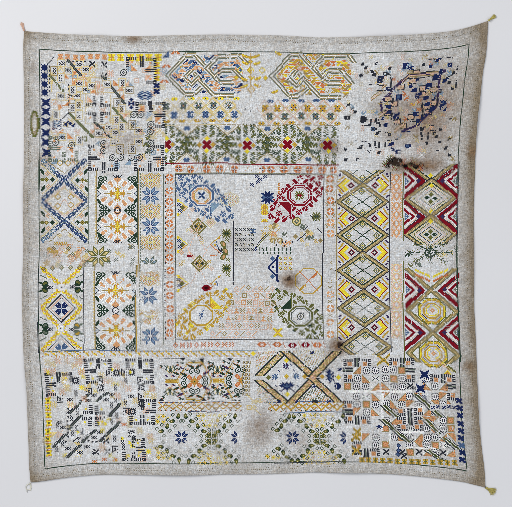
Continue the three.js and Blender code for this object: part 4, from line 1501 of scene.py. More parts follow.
def draw_flower_lattice(chart):
    """Top: rows of eight-petalled flowers in a pink trellis."""
    green = {"B": "g"}
    rows = (
        (105.7, (183, 198.4, 213, 228.4), (166.5,), green),
        (114.7, (174, 189.7, 205, 220, 234), (), None),
        (108, (264.7, 277.6, 293, 308, 323, 337.5), (), {"B": "y"}),
        (116, (269.5, 284.8, 300.7, 315, 330.6), (), green),
    )
    for y, spots, halves, swap in rows:
        for x in spots + halves:
            chart.ring(x, y, 7.7, 8.2, "s" if x < 250 else "p", FINE)
            chart.ring(x, y, 6.0, 6.2, "s", FINE, thick=0.6)
        for x in spots + halves:
            chart.stamp(x, y, FLOWER_SMALL, swap=swap)
            chart.stamp(x, y, ["o" if swap else "b"])
    top_left, bottom_left = (174.6, 190.8, 205.6, 220.7, 236.4), (167, 182.4, 197.5, 212.3, 227.1)
    top_right, bottom_right = (270, 285.4, 301.3, 316, 331.5), (261.7, 276.7, 292, 308, 322.5, 337)
    halves = (
        (top_left, 98.8, slice(4, 7), {"B": "Y"}), (bottom_left, 121, slice(0, 3), {"B": "y"}),
        (top_right, 100.7, slice(4, 7), None), (bottom_right, 123, slice(0, 3), {"B": "y"}),
    )
    for spots, y, part, swap in halves:
        chart.scatter(FLOWER_SMALL[part], [(x, y) for x in spots], swap=swap)
    chart.stamp(248, 110, TWO_CROSSES)
    chart.wear(236, 100, 262, 124, 0.25)
    chart.wear(166, 97, 340, 124, 0.05)


def draw_wreath_band(chart):
    """Top: crimson stars in wreaths of olive leaves, over an orange border."""
    stars = (166.5, 206.5, 247, 287.5, 328)
    for k, x in enumerate(stars):
        draw_wreath(chart, x, 144.3 + 0.2 * k)
    for x in (186.8, 227, 267.3, 307.8):
        chart.scatter(WREATH_LEAVES[1], ((x, 139), (x, 150), (x - 3, 144.5), (x + 4, 144.5)))
    for k, x in enumerate(stars):
        y = 144.3 + 0.2 * k
        chart.ring(x, y, 9.8, 9.2, ".", fill=".", thick=1.6)
        chart.ring(x, y, 9.6, 9.0, "t" if k % 2 else "b", FINE, thick=0.8)
        chart.scatter(YELLOW_DIAMOND, ((x, y - 6.0), (x, y + 6.0)))
        chart.scatter(YELLOW_DIAMOND, ((x - 6.5, y), (x + 6.5, y)), {"Y": "y"})
        chart.stamp(x, y, STAR_CRIMSON)
    for x in (186.8, 227, 267.3, 307.8):
        for side, y in ((1, 126), (-1, 162)):
            for inset in range(10):
                half = 10.5 - inset * 1.1
                chart.line(x - half, y + side * inset, x + half, y + side * inset, ".")
            for end in (-1, 1):
                chart.line(x, y + side * 10, x + end * 11.5, y, "t")
                chart.line(x, y + side * 7.4, x + end * 8.5, y, "s", FINE)
            blue = FLOWER_SMALL[:4] if side < 0 else FLOWER_SMALL[-4:]
            chart.stamp(x, y + side * 2.4, blue, {"N": "B"})
    chart.clear(150, 120, 165.5, 170)
    chart.clear(339, 120, 352, 164)
    chart.line(165, 125, 222, 125, "s", FINE)
    chart.line(222, 125, 338, 125, "t", FINE, gap=5)
    chart.line(166, 163.3, 338, 165.4, "C")
    blooms = (179, 191, 206.8, 219.7, 235.2, 262, 271, 284, 298, 309, 322, 333)
    chart.scatter(BORDER_FLOWER, [(x, 168.6 + 0.006 * (x - 170)) for x in blooms], {"w": "k"})
    for first, last in zip(blooms, blooms[1:], strict=False):
        chart.line((first + last) / 2, 166.5, (first + last) / 2 - 3, 171.5, "a", FINE)
        chart.line((first + last) / 2 + 2, 166.5, (first + last) / 2 + 3, 171.5, "t", FINE)
    chart.line(176, 173.4, 336, 174.6, "O", FINE)
    chart.wear(240, 165, 262, 173, 0.6)
    chart.wear(166, 166, 338, 173, 0.06)
    chart.wear(318, 126, 345, 160, 0.15)


def draw_spray(chart, x, y, side, up, silks, heart, heart_silks=None):
    """A leafy spray round a ring, pointing out to one corner of the panel."""
    turned = ("h" if side < 0 else "") + ("v" if up < 0 else "")
    for step in range(-5, 5):
        along = step * LEAF_PITCH
        half = SPRAY_HALF_WIDTH * math.sqrt(1 - (along / SPRAY_HALF_LENGTH) ** 2)
        rows = max(1, round(2 * half / LEAF_PITCH))
        for k in range(rows):
            across = (k + 0.5) / rows * 2 * half - half
            dx, dy = SLANT * (along + across) * 1.12, SLANT * (along - across) * 0.96
            leaf = SPRAY_LEAVES[(step * 3 + k * 2) % len(SPRAY_LEAVES)]
            flip = ("h" if side * dx > 0 else "") + ("v" if up * dy > 0 else "")
            chart.stamp(x + side * dx, y + up * dy, leaf, silks, flip)
    for dx, dy in ((-14.5, -12.5), (6.2, 4.6)):
        chart.ring(x + side * dx, y + up * dy, 7.0, 7.0, ".", fill=".")
        chart.stamp(x + side * dx, y + up * dy, SPRAY_WEDGE, silks, turned)
    chart.line(x + side * -22, y + up * -6.2, x + side * -9, y + up * -6.2, ".")
    chart.line(x + side * -8, y + up * -20, x + side * -8, y + up * -7.5, ".")
    dark = silks.get("N", "N") if silks else "N"
    chart.ring(x, y, 12.6, 11.0, ".", thick=1.4, octagon=True)
    chart.ring(x, y, 11.4, 9.8, dark, thick=1.5, fill=".", octagon=True)
    chart.stamp(x, y, heart, heart_silks)


def draw_sprays(chart):
    """Centre: a leafy spray in each corner of the panel."""
    crimson = {"N": "C", "B": "C"}
    draw_spray(chart, 201.6, 195.5, -1, -1, {"N": "B", "B": "b"}, FOUR_PETALS, {"N": "B", "B": "N"})
    chart.ring(201.6, 195.5, 8.8, 7.6, "a", thick=1.2, octagon=True)
    chart.ring(201.6, 195.5, 7.4, 6.2, "y", FINE, thick=0.8, octagon=True)
    draw_spray(chart, 299.8, 195.4, 1, -1, crimson, CROSS_SPRIG, {"G": "C"})
    draw_spray(chart, 201.0, 315.7, -1, 1, {"N": "y", "B": "Y"}, DARTS, {"N": "B"})
    chart.line(200, 319, 203, 311, "B")
    draw_spray(chart, 300.7, 315.8, 1, 1, {"N": "O", "B": "G"}, LEAF_RING, {"g": "O"})
    chart.ring(299.8, 195.4, 9.2, 7.8, "C", FINE, thick=0.8, octagon=True)
    chart.ring(300.7, 315.8, 9.2, 7.8, "G", FINE, thick=0.8, octagon=True)
    for x, y, letter in ((192, 304, "Y"), (207, 327, "Y"), (212, 306, "o"), (190, 327, "Y")):
        chart.stamp(x, y, RING_DIAMOND, swap={"y": letter, "Y": "y"})
    for edge in ((324, 160, 345, 352), (150, 160, 175, 352), (150, 150, 345, 175), (150, 339, 345, 352)):
        chart.clear(*edge)
    chart.wear(176, 174, 234, 224, 0.06)
    chart.wear(268, 176, 324, 220, 0.03)


def draw_centre_panel(chart):
    """Centre: the panel's line, its small diamonds and the figured rows."""
    for run in ((175.9, 174.3, 323.6, 174.3), (175.9, 339.5, 323.6, 339.5), (175.9, 174.3, 175.9, 339.5),
                (323.7, 174.3, 323.7, 339.5)):
        chart.line(*run, "k", FINE)
    chart.line(233.3, 221, 233.3, 284, "k")
    for y, tip in ((207.6, 187.5), (244.4, 187.5), (283.5, 188.5)):
        for end in (-8, 8):
            chart.line(177, y + end, tip, y, "Y" if end < 0 else "y")
        chart.stamp(182.5, y, GREEN_DIAMOND, swap={"G": "O"})
        chart.scatter(DARTS, ((179, y - 3), (179.5, y + 3)))
        chart.scatter(["YY", "Yy", "YY"], ((178.2, y - 7), (178.2, y + 7)))
    for y in (244.4, 284):
        for end in (-9, 9):
            chart.line(220, y + end, 210, y, "y" if end < 0 else "o")
        chart.scatter(["Yy", "yo"], ((219, y - 7), (214.5, y)))
        chart.line(216, y - 3, 218, y + 3, "B")
    chart.clear(208, 287, 222, 294)
    chart.scatter(OLIVE_TILE, ((198, 226), (199.6, 264)))
    chart.stamp(220, 250, SPRIG, swap={"N": "k"})
    chart.scatter(LEAF_LONG, ((223, 244), (225, 251)), swap={"s": "t", "y": "a"})
    chart.stamp(223, 256, LEAF_LONG, swap={"s": "t", "y": "a"}, flip="v")
    chart.scatter(CROSS_SPRIG, ((226, 233), (226.5, 268.5)))
    chart.scatter(DARTS, ((227, 240), (227.5, 260), (228, 275)), swap={"N": "O"})
    chart.line(187, 255.3, 192.5, 255.3, "C", width=2)
    chart.line(210.5, 255.3, 216, 255.3, "o")
    bud = "..CCCCC... .CCCCCCC.. CCCCCCCCCo CCCCCCCCoo .CCCCCCCo. ..CCCC....".split()
    chart.stamp(206.2, 288, bud)
    lattice = ((188, 214, 205, 250), (205, 214, 188, 250), (188, 250, 208, 284), (208, 246, 190, 286))
    for run in lattice:
        chart.line(*run, "p", FINE, gap=3)
    chart.stamp(229.5, 199.5, LACE_DIAMOND, kind=FINE, swap={"y": "s", "a": "s", "p": "s", "Y": "y"})
    chart.stamp(210.5, 222.5, PALE_DIAMOND, kind=FINE)
    chart.stamp(267.6, 197.6, four_way("....N.. ....NN. NNN.NNN .BNNNNN ..BNNNN .BBBNNB NNBBBBN"))
    for x, y in ((257, 177), (260, 179.5), (265, 176.5), (258.5, 182), (252.6, 184.5)):
        chart.stamp(x, y, DARTS, flip="h" if x > 258 else "")
    for y, rows in ((206, 5), (212.2, 6), (220.8, 3)):
        chart.stamp(264, y, GOLD_SQUARE[:rows])
    chart.scatter(["yo", "o.", "yo"], ((278.8, 184), (278.8, 188), (278.8, 192)))
    seeds = ((262, 231), (265, 227), (270, 230), (262, 237), (272, 226), (278, 229), (266, 234))
    for k, (x, y) in enumerate(seeds):
        chart.stamp(x, y, "y.s .t. s.y".split(), flip="h" if k % 2 else "", kind=FINE)
    for x in range(236, 256, 4):
        for y in range(229, 252, 5):
            chart.stamp(x, y, ("k.g .k. g.k" if (x + y) % 2 else "kk. .tg g.k").split(), kind=FINE)
    chart.stamp(253, 230.5, "BBBBBB ..BB.. ..BB.. BBBBBB".split())
    chart.stamp(255.5, 248.8, "NNN NNN NNN .N.".split())
    for k, x in enumerate(range(259, 293, 4)):
        chart.line(x, 247.6 + k % 2, x, 253.0, "G" if k % 3 else "g", SATIN_DOWN)
    chart.line(257.5, 246, 268, 234.5, "O")
    chart.line(256, 246, 266, 234.5, "k", FINE)
    chart.scatter(CURL, ((273.5, 241), (280, 241)), swap={"N": "t"})
    chart.scatter(["k", "k"], ((283, 242), (285.5, 241.5), (292.4, 241.6), (284.4, 246), (277, 245)))
    for run in ((298, 240, 306, 234), (304, 230, 308, 226.5), (318, 229, 322, 233), (311, 216, 316, 221)):
        chart.line(*run, "k", FINE)
    chart.ring(296.8, 221.3, 4.0, 4.0, "O", FINE, fill="s", octagon=True)
    chart.ring(296.8, 221.3, 2.0, 2.0, "g", FINE)
    chart.faded(262, 224, 322, 246, "sgtyas", (DARTS, SPRIG, SMALL_TILE), 30)
    chart.faded(178, 206, 212, 286, "sptayp", (DARTS, RING_DIAMOND), 26)
    chart.scatter(CROSS_SPRIG, ((317, 217),), kind=FINE)
    chart.line(276.8, 257.5, 276.8, 280, "N", width=2)
    chart.line(275, 259, 268, 267.3, "N", width=2)
    chart.line(268, 267.3, 275.5, 274.5, "N", width=2)
    chart.scatter(SPRAY_LEAF, ((272.2, 258.2), (272.6, 276.4)), swap={"N": "B"})
    chart.scatter(["NN", "NN"], ((273.4, 267.2), (278, 280.5), (277.6, 256)))
    for k, x in enumerate((280.5, 285.5, 290.5)):
        for step, y in enumerate((258, 263, 268)):
            chart.stamp(x, y, ("y.o .Y. o.y" if (k + step) % 2 else "Yy. y.O .Oy").split())
    chart.ring(308.3, 280.6, 12.8, 12.2, "y", FINE, octagon=True)
    for run in ((299, 271.5, 317.5, 290), (299, 290, 317.5, 271.5)):
        chart.line(*run, "o", FINE)
    chart.line(300.5, 288, 305, 284, "y", width=3)
    chart.line(312, 277, 316, 273, "o", width=2)
    chart.stamp(277.9, 332.8, BOLD_CROSS)
    rows = ((288, 234, 272), (295.4, 236, 272), (303, 229, 272), (310.3, 228, 272), (318, 226, 274),
            (326, 220, 271), (334, 211, 255))
    for k, (y, first, last) in enumerate(rows):
        for step, x in enumerate(range(first, last, 6)):
            tile = ROW_TILES[(k + (step * step) % 4) % len(ROW_TILES)].split()
            silks = {"t": "pat"[(step + k) % 3]}
            chart.stamp(x + 2, y, tile, silks, flip="h" if step % 2 else "")
        chart.line(first, y + 3.6, last, y + 3.6, "p", FINE, 3)
    for k, x in enumerate(range(176, 238, 7)):
        chart.stamp(x, 345, ROW_TILES[(0, 3, 5)[k % 3]].split(), swap={"t": "o"})
    for k, x in enumerate((262, 276.6, 291.8, 305.8, 317)):
        chart.stamp(x, 344.8, ORANGE_BLOOM, swap={"o": "C"} if k in (2, 3) else None)
        chart.line(x + 6, 342, x + 8.5, 347, "o", FINE)
    chart.wear(234, 226, 262, 254, 0.15)
    chart.wear(226, 284, 272, 338, 0.05)


def draw_side_figures(chart, left, right, rows, draw):
    """The same figure at both sides of a column, pointing inwards."""
    for y in rows:
        draw(chart, left, y, 1)
        draw(chart, right, y, -1)


def draw_yellow_arrow(chart, x, y, side):
    """Yellow and crimson arrowheads beside a small ringed tile."""
    for drop in range(-9, 10):
        start = abs(drop) * 1.02
        chart.line(x + side * (start + 1), y + drop, x + side * (start + 5.6), y + drop, "Y")
        chart.line(x + side * start, y + drop, x + side * start, y + drop, "C")
    for end in (-1, 1):
        chart.line(x + side * 0.3, y + end * 4, x + side * 6.5, y + end * 11, "y", width=2)
        chart.line(x + side * 0.5, y + end * 9.5, x + side * 2, y + end * 12, "v", width=2)
        chart.line(x + side * 8.5, y + end * 9.5, x + side * 12, y + end * 6.5, "v", width=2)
        chart.line(x + side * 12, y + end * 7.2, x + side * 15.5, y + end * 4, "p", FINE)
    chart.ring(x + side * 13.0, y, 4.6, 4.6, ".", fill=".")
    chart.stamp(x + side * 13.0, y, PINK_RING)


def draw_crimson_arrow(chart, x, y, side):
    """Nested crimson arrowheads with a pale slot, pointing at the trellis."""
    for end in (-1, 1):
        for step in (0, 1, 2, 3):
            chart.line(x, y + end * (16.5 - step), x + side * (19.5 - step), y, "C", width=2)
        for step in (0, 1, 2):
            chart.line(x, y + end * (8 - step), x + side * (9.5 - step), y, "C")
        chart.line(x + side * 1.5, y + end * 11.8, x + side * 13.0, y + end * 2.6, "k", FINE)
        chart.line(x + side * 1.5, y + end * 10.6, x + side * 12.0, y + end * 1.6, "p", FINE)
        chart.line(x + side * 0.5, y + end * 9.8, x + side * 11, y + end * 0.8, "w")
    chart.stamp(x + side * 14, y, "..v.. .vvv. vvvvv .vvv. ..v..".split())
    chart.stamp(x + side * 2.3, y, BLUE_CORNER, flip="" if side > 0 else "h",
                swap=None if side > 0 else {"B": "g", "b": "B"})


def draw_trellis(chart, centres, half_width, half_height, band, outside, inside):
    """A row of diamonds down a column, each with a broad band between two lines."""
    for x, y in centres:
        chart.ring(x, y, half_width, half_height, band[0], thick=2.9)
        chart.ring(x, y, half_width - 0.4, half_height - 0.3, band[1], FINE, thick=0.5)
        chart.ring(x, y, half_width + 3, half_height + 2.4, outside, FINE, thick=0.7)
        chart.ring(x, y, half_width - 3, half_height - 2.4, inside, FINE, thick=0.8)


def draw_east_trellis(chart):
    """East column: white diamonds in a tan trellis, with yellow arrowheads."""
    centres = ((362, 167.5), (362.3, 201.8), (362.6, 235.3), (363, 270.3), (364, 308), (365.5, 346.5))
    side_rows = (185.5, 218.6, 252.3, 289, 327.5)
    draw_side_figures(chart, 338.2, 388, side_rows, draw_yellow_arrow)
    for x, y in centres:
        chart.ring(x, y, 26.0, 19.0, ".", thick=4.0)
    draw_trellis(chart, centres, 24, 17.2, "ts", "k", "G")
    for x, y in centres:
        chart.ring(x, y, 17.6, 12.6, "s", FINE, thick=0.6)
        for end in (-1, 1):
            chart.line(x - 9.5, y - end * 6.5, x + 9.5, y + end * 6.5, "G", FINE)
            chart.stamp(x, y + end * 10.4, GREEN_TILE)
            chart.stamp(x + end * 14.0, y, GREEN_TILE, swap={"Y": "g"} if end > 0 else None)
    chart.clear(330, 140, 395, 169.5)
    chart.clear(330, 354.5, 395, 375)
    chart.line(390, 172, 391, 352, "k", FINE)
    chart.line(337, 176, 337, 340, "t", FINE)
    for y in (179, 189, 200.6, 212, 222.8, 233.5, 294, 308.8, 322, 334.5):
        chart.stamp(330.3, y, BORDER_FLOWER, flip="t", swap={"o": "a"} if y > 220 else {"a": "t"})
    for y in (262.8, 270, 281, 287.5, 301, 315):
        chart.stamp(330.5, y, "t..t .tt. t..t".split(), kind=FINE)
    for y in (184, 195, 206, 217.5, 228):
        chart.scatter(["a", "."], ((326.5, y), (334.5, y)))
        chart.line(326, y - 3, 328, y, "t", FINE)
        chart.line(334.5, y - 3, 332.5, y, "t", FINE)
    chart.wear(325, 246, 336, 300, 0.45)
    chart.wear(325, 172, 391, 356, 0.02)


def draw_crimson_column(chart):
    """East column: crimson arrowheads at the sides of a khaki trellis."""
    upper = ((431.5, 163.4), (431.0, 198.3), (430.6, 234.5))
    lower = ((430.8, 268.5), (431.9, 311), (433.4, 354))
    draw_trellis(chart, upper, 24.5, 18, "ts", "k", "G")
    draw_trellis(chart, lower, 24.5, 21, "ts", "g", "O")
    chart.clear(400, 140, 470, 162.5)
    chart.clear(400, 245, 470, 268)
    chart.clear(400, 362, 470, 380)
    diamonds = (
        (19.2, 14.0, "s"), (17.2, 12.6, "O"), (15.0, 10.9, "p"), (11.2, 8.3, "k"), (9.4, 7.0, "s"),
    )
    for x, y in upper[1:]:
        for half_width, half_height, letter in diamonds:
            chart.ring(x, y, half_width, half_height, letter, FINE, thick=0.6)
        chart.scatter(["sO"], ((x - 16.5, y), (x + 16.5, y)))
        for dx, dy, letter in ((0, -3.2, "O"), (0, 3.4, "O"), (-4.4, 0, "G"), (4.4, 0, "G")):
            chart.stamp(x + dx, y + dy, GREEN_DIAMOND[1:4] if dx else GREEN_DIAMOND, swap={"G": letter})
    octagons = (
        (13.6, "O", CROSS, 0.9), (12.4, "Y", CROSS, 0.9), (11.4, "y", CROSS, 0.9),
        (10.0, "k", FINE, 0.5), (8.2, "y", CROSS, 1.2), (6.0, "Y", CROSS, 0.9),
    )
    for x, y in lower[1:]:
        for half_width, letter, kind, thick in octagons:
            chart.ring(x, y, half_width, half_width - 1, letter, kind, thick, octagon=True)
        chart.stamp(x, y, "..a.. .aaa. aa.aa .aaa. ..a..".split())
        chart.scatter(["..w..", ".w.w.", "..w.."], ((x, y - 14.5), (x, y + 14.5)))
        for end in (-1, 1):
            chart.stamp(x + end * 12.5, y, ["Y.", "YY", "Y."], flip="h" if end < 0 else "")
            chart.line(x + end * 3, y - 12.5, x + end * 8, y - 9, "y", width=2)
            chart.line(x + end * 3, y + 12.5, x + end * 8, y + 9, "y", width=2)
            chart.line(x, y + end * 9, x, y + end * 13, ".")
    for end, x in ((-1, 429.5), (1, 433.5)):
        for drop in (0, 4.6):
            chart.line(x + end * 14, 269.5 + drop, x, 275.8 + drop, "Y" if drop == 0 else "o", width=2)
    for y in (175.3, 186, 211, 221.2):
        chart.stamp(431, y, YELLOW_DIAMOND)
    draw_side_figures(chart, 404.8, 457, (180.6, 216.4), draw_crimson_arrow)
    draw_side_figures(chart, 405.6, 458.3, (290, 332.5), draw_crimson_arrow)
    bloom_x, bloom_y = 430.5, 252.5
    for turn in range(8):
        angle = math.pi / 4 * turn
        across, along = math.cos(angle), 0.66 * math.sin(angle)
        reach = 13 if turn % 4 == 2 else 21
        chart.line(bloom_x, bloom_y, bloom_x + reach * across, bloom_y + reach * along, "G", FINE)
        for step in range(5, reach, 5):
            x, y = bloom_x + step * across, bloom_y + step * along
            chart.line(x, y, x + 2.6 * across - 2.4 * along, y + 2.6 * along + 2.4 * across, "O")
            chart.line(x, y, x + 2.6 * across + 2.4 * along, y + 2.6 * along - 2.4 * across, "g")
    chart.ring(bloom_x, bloom_y, 5.0, 4.0, "G", FINE, octagon=True)
    chart.faded(407, 240, 456, 266, "OGggs", (DARTS, SPRIG), 18)
    for y in (177.9, 187.2, 196.6, 206, 215.2, 224.4, 233.6):
        chart.stamp(396.6, y, BORDER_CHAIN, swap={"o": "a", "a": "p"})
    for y in (268.5, 277.5, 286.8, 296.4, 306, 315.6, 325.2, 334):
        chart.stamp(396.6, y, BORDER_CHAIN, swap={"o": "p", "a": "s"})
    chart.line(403.4, 172, 403.4, 241, "O")
    chart.line(403.4, 262, 404.6, 362, "O")
    chart.line(459.4, 162, 457.8, 240, "k", FINE)
    chart.line(457.8, 240, 457.5, 268, "g", FINE)
    chart.line(458, 268, 460.6, 362, "G")
    chart.wear(391, 170, 403, 340, 0.05)
    chart.wear(404, 240, 458, 266, 0.15)
    chart.wear(404, 160, 460, 362, 0.02)


def draw_interlace(chart, x0, x1, y, pitch):
    """A narrow braid of two crossing zigzags, one of them doubled, between dots."""
    reach = 3.3
    for k in range(round(x1 - x0)):
        turn = (k % (2 * pitch)) / pitch
        rise = reach * (1 - 2 * abs(turn - 1))
        x = x0 + k
        chart.stamp(x, y - rise, ["t"])
        chart.stamp(x, y - rise * 0.5, ["y" if k % 3 else "o"], kind=FINE)
        chart.line(x, y + rise - 0.5, x, y + rise + 0.5, "y")
        if k % 5 < 2:
            chart.stamp(x, y - reach - 0.8, ["o" if k % 2 else "y"])
            chart.stamp(x + 2, y + reach + 0.8, ["G" if k % 2 else "o"], kind=FINE)


def draw_south_west(chart):
    """The south-west block: dark combs, slanted grey bars and yellow squares."""
    chart.line(57, 351.2, 150, 351.2, "B", FINE)
    chart.line(150, 351.2, 256, 351, "b", FINE)
    edging = (
        45.5, 53.8, 61.8, 69.8, 78, 86.3, 94.5, 102, 113.5, 122, 129.5, 138.5, 146.5, 155, 161.5,
        169, 177, 186, 193.8, 202, 210, 217.3, 224, 231.6, 238.5, 246,
    )
    for x in edging:
        for dx, dy, letter in ((-2.5, -2, "y"), (0, 0, "Y"), (2.2, 1.8, "y")):
            chart.stamp(x + dx, 354 + dy, [letter * 2, "." + letter] if dx else ["YoY", ".Yy"])
        chart.stamp(x + 2.6, 352, ["y"])
        chart.stamp(x - 2.4, 356.2, ["o"], kind=FINE)
    figures = (
        (98, 371.3, ("", "h"), "n"), (140, 371, ("", "h"), "n"), (58.5, 384.8, ("", "h"), "n"),
        (142.3, 411.8, ("h",), "e"), (133.5, 449, ("hv",), "e"),
    )
    for x, y, corners, bars in figures:
        for flip, dx in (("", -9), ("h", 9)):
            if flip in corners:
                chart.stamp(x + dx, y - 8, COMB_DARK, flip=flip)
        draw_double_bar(chart, x, y - 12.5, x, y - 2.5, 1.2)
        chart.line(x, y - 12, x, y - 3, "g", FINE)
    bars = ((86, 96, 371.2), (143, 152, 371), (46.5, 56, 384.6), (146, 155, 411.6), (136, 145.5, 449))
    for x0, x1, y in bars:
        draw_double_bar(chart, x0, y, x1, y, 1.1)
    corners = (
        (90.8, 379.5, "v"), (149.6, 379.5, "vh"), (150.5, 403.3, "h"), (134.6, 420.3, "v"),
        (150.6, 420.3, "vh"), (139.8, 442.3, "h"), (140.6, 456.4, "vh"), (127, 456.8, "v"),
        (51, 391.5, "v"),
    )
    for x, y, flip in corners:
        chart.stamp(x, y, COMB_DARK, flip=flip)
    draw_double_bar(chart, 142.2, 415.5, 142.2, 424.5, 1.2)
    draw_double_bar(chart, 133.4, 452.5, 133.4, 460, 1.2)
    rings = (
        (109.3, 372.5), (117, 372.5), (123.6, 372.5), (131, 372.3), (99.5, 380), (100.5, 387.8),
        (140.5, 380), (141.3, 387.6), (141, 396), (141, 403), (126, 411), (133, 411), (115.7, 448.7),
        (131.3, 433.5), (59.8, 399.3), (75.5, 380.5), (89, 391),
    )
    for k, (x, y) in enumerate(rings):
        chart.stamp(x, y, RING_DOTS if k % 2 else HALF_LINK, flip=("", "h", "v")[k % 3])
    grey_bars = (
        (88, 394, 68.5, 414), (106.5, 392.5, 96, 401.5), (119, 404, 108.7, 416), (80, 416, 68.5, 428.5),
        (118, 422.5, 99.5, 441.5), (65, 434.3, 53, 447), (95, 430, 81, 442), (79.5, 445, 66.5, 458),
    )
    for x0, y0, x1, y1 in grey_bars:
        chart.bar(x0, y0, x1, y1, "g", 3, edge="k")
        chart.line(x0 - 1.6, y0 + 0.5, x1 - 1.6, y1, "k", FINE)
    for x, y, flip in ((87.5, 409.5, "hv"), (99.8, 409.5, "v"), (87.5, 421.2, "h"), (99.8, 421.2, "")):
        chart.stamp(x, y, COMB_DARK, flip=flip)
    for y in (400.8, 407.6, 415, 423.5, 431.2, 438.5, 446, 453.5):
        chart.stamp(48.4, y, X_MIDDLE)
    for y in range(409, 441, 4):
        chart.stamp(67.8, y, ["kk", ".k"])
    for x in (66.5, 73.5, 77.5, 84.5, 88.5, 92.5, 96.5):
        chart.stamp(x, 441.5, ["kk", "k."])
    chart.line(47, 437, 47, 455, "k", FINE, gap=3)
    crosses = (
        (69.3, 399.2), (89, 400.6), (94.5, 395.3), (112, 395.2), (130.5, 396), (105.8, 400),
        (100.5, 432.5), (77.5, 438), (94.5, 437.3), (68.5, 448.6), (80, 452.5), (94.8, 452.5),
        (59, 422.6), (63, 427), (87, 446.6),
    )
    chart.scatter(TWO_CROSSES, crosses)
    downs = (
        (116, 399), (111.5, 405), (111.5, 421), (116.8, 416), (125.5, 402), (77.3, 412), (72, 418),
        (77, 427.5), (72, 433.5), (62.4, 443.4), (57.2, 448.6), (115.5, 387), (125.5, 381),
        (114.5, 439), (122.6, 440.6), (123.8, 446.6), (57.5, 424.5), (82, 431), (75.5, 393),
    )
    chart.scatter(TWO_DOWN, downs)
    chart.scatter(BIG_CROSS, ((106.5, 441), (95.3, 452), (107.3, 452)))
    for x, y in ((124.5, 424.2), (104.6, 458.8), (115, 459.6), (94.5, 461)):
        chart.stamp(x, y, ["o.o.o", ".ooo.", "o.o.o"])
    yellows = ((77.8, 432.4), (105, 424), (122, 438), (129, 442), (112, 370), (130, 372.5))
    chart.scatter("YY. .YY YY.".split(), yellows)
    pale_crosses = (
        (52, 364), (58, 360), (66, 361), (74, 366), (78, 358), (53, 372), (68, 388), (62, 392),
        (82, 371), (110, 381), (122, 384), (116, 366), (140, 430), (118, 396), (150, 436),
        (70, 404), (103, 446), (84, 399), (146, 394), (152, 388),
    )
    for k, (x, y) in enumerate(pale_crosses):
        silks = {"G": "p" if k % 2 else "s", "O": "a" if k % 3 else "s"}
        chart.stamp(x, y, LEAF_CROSS, silks, kind=FINE)
    chart.faded(46, 360, 156, 460, "wswspY", (TRIANGLE, LEAF_CROSS, SMALL_BLOOM), 90)
    chart.wear(44, 358, 156, 462, 0.06)


def draw_scroll_band(chart):
    """Dark scrolls round orange flowers on gold stems, over a narrow braid of gold."""
    chart.line(165, 358.5, 182, 358.5, "k", FINE)
    chart.line(158, 402.4, 241, 402.4, "N", FINE)
    chart.line(188.5, 411.6, 219, 411.6, "N", FINE)
    middle = 380.8
    stems = ((-29, 0, -18, 0), (-17.5, 0, -7, -19), (-7, -19, 7, -19), (7, -19, 17.5, 0))
    threads = ((0, "y", CROSS, 0), (1.6, "s", FINE, 0), (-1.4, "t", FINE, 3))
    leaves = (
        (-19, -8), (-14.5, -14), (-11, -7.5), (-4, -15.5), (5, -15.5), (12, -8), (15.5, -14), (20, -8),
    )
    for x, last in ((194.5, 40), (240, 3)):
        for side in (-1, 1):
            for x0, y0, x1, y1 in stems:
                if x + x1 > 243:
                    continue
                for away, letter, kind, gap in threads:
                    start, end = middle + side * (y0 + away), middle + side * (y1 + away)
                    chart.line(x + x0, start, x + x1, end, letter, kind, gap)
            for k, (dx, dy) in enumerate(leaves):
                if dx > last:
                    continue
                flip = ("h" if dx > 0 else "") + ("v" if side < 0 else "")
                silks = {"G": "v"} if k % 4 == 1 else None
                chart.stamp(x + dx, middle + side * dy, LONG_LEAF, silks, flip)
                chart.stamp(x + dx + 2.5, middle + side * (dy - 3.8), ["G.G", ".GG"])
                chart.stamp(x + dx - 3, middle + side * (dy + 3), ["pp", "ap"], kind=FINE)
        for dx, dy, flip in ((0, -10.3, ""), (0, 10.3, "v"), (-10.8, 0, "t"), (10.8, 0, "th")):
            if dx < last:
                chart.stamp(x + dx, middle + dy, HEART_SCROLL, flip=flip)
    chart.stamp(194.5, middle, SCROLL_BLOOM)
    chart.stamp(239.5, middle, [row[:8] for row in SCROLL_BLOOM])
    for x in (170.5, 217.5):
        for y, flip in ((391.5, "v"), (369.5, "")):
            chart.stamp(x, y, SCROLL_BUD, flip=flip)
        for dy in (-1, 1):
            chart.line(x - 4, middle + dy, x + 6, middle + dy, "y")
        for dx in (-4, 3.5):
            for dy in (-4.6, 4.4):
                chart.stamp(x + dx, middle + dy, ["vv.", ".vv"])
    for x, y in ((183, 359.6), (201.5, 359.8), (230.3, 359.8), (161.5, 399.6), (204, 399.6), (235, 400)):
        chart.stamp(x, y, ["kkkkk", ".kkk.", "..k.."] if y < 380 else ["..k..", ".kkk.", "kkkkk"])
    chart.scatter(["GG.", ".GG", "oG."], (
        (161.5, 366), (178, 363), (163, 397), (180, 398), (209, 363), (209, 398), (224, 362),
        (227, 397), (238, 362), (239, 397),
    ))
    draw_interlace(chart, 158.5, 243, 406.6, 7.2)
    for y in range(363, 398, 4):
        for x in (244.5, 248.3):
            chart.stamp(x, y, ["tt.t", "tk.t", "t.tt"], kind=FINE)
        chart.stamp(246.5, y, ["s"])
    chart.wear(156, 358, 244, 402, 0.03)


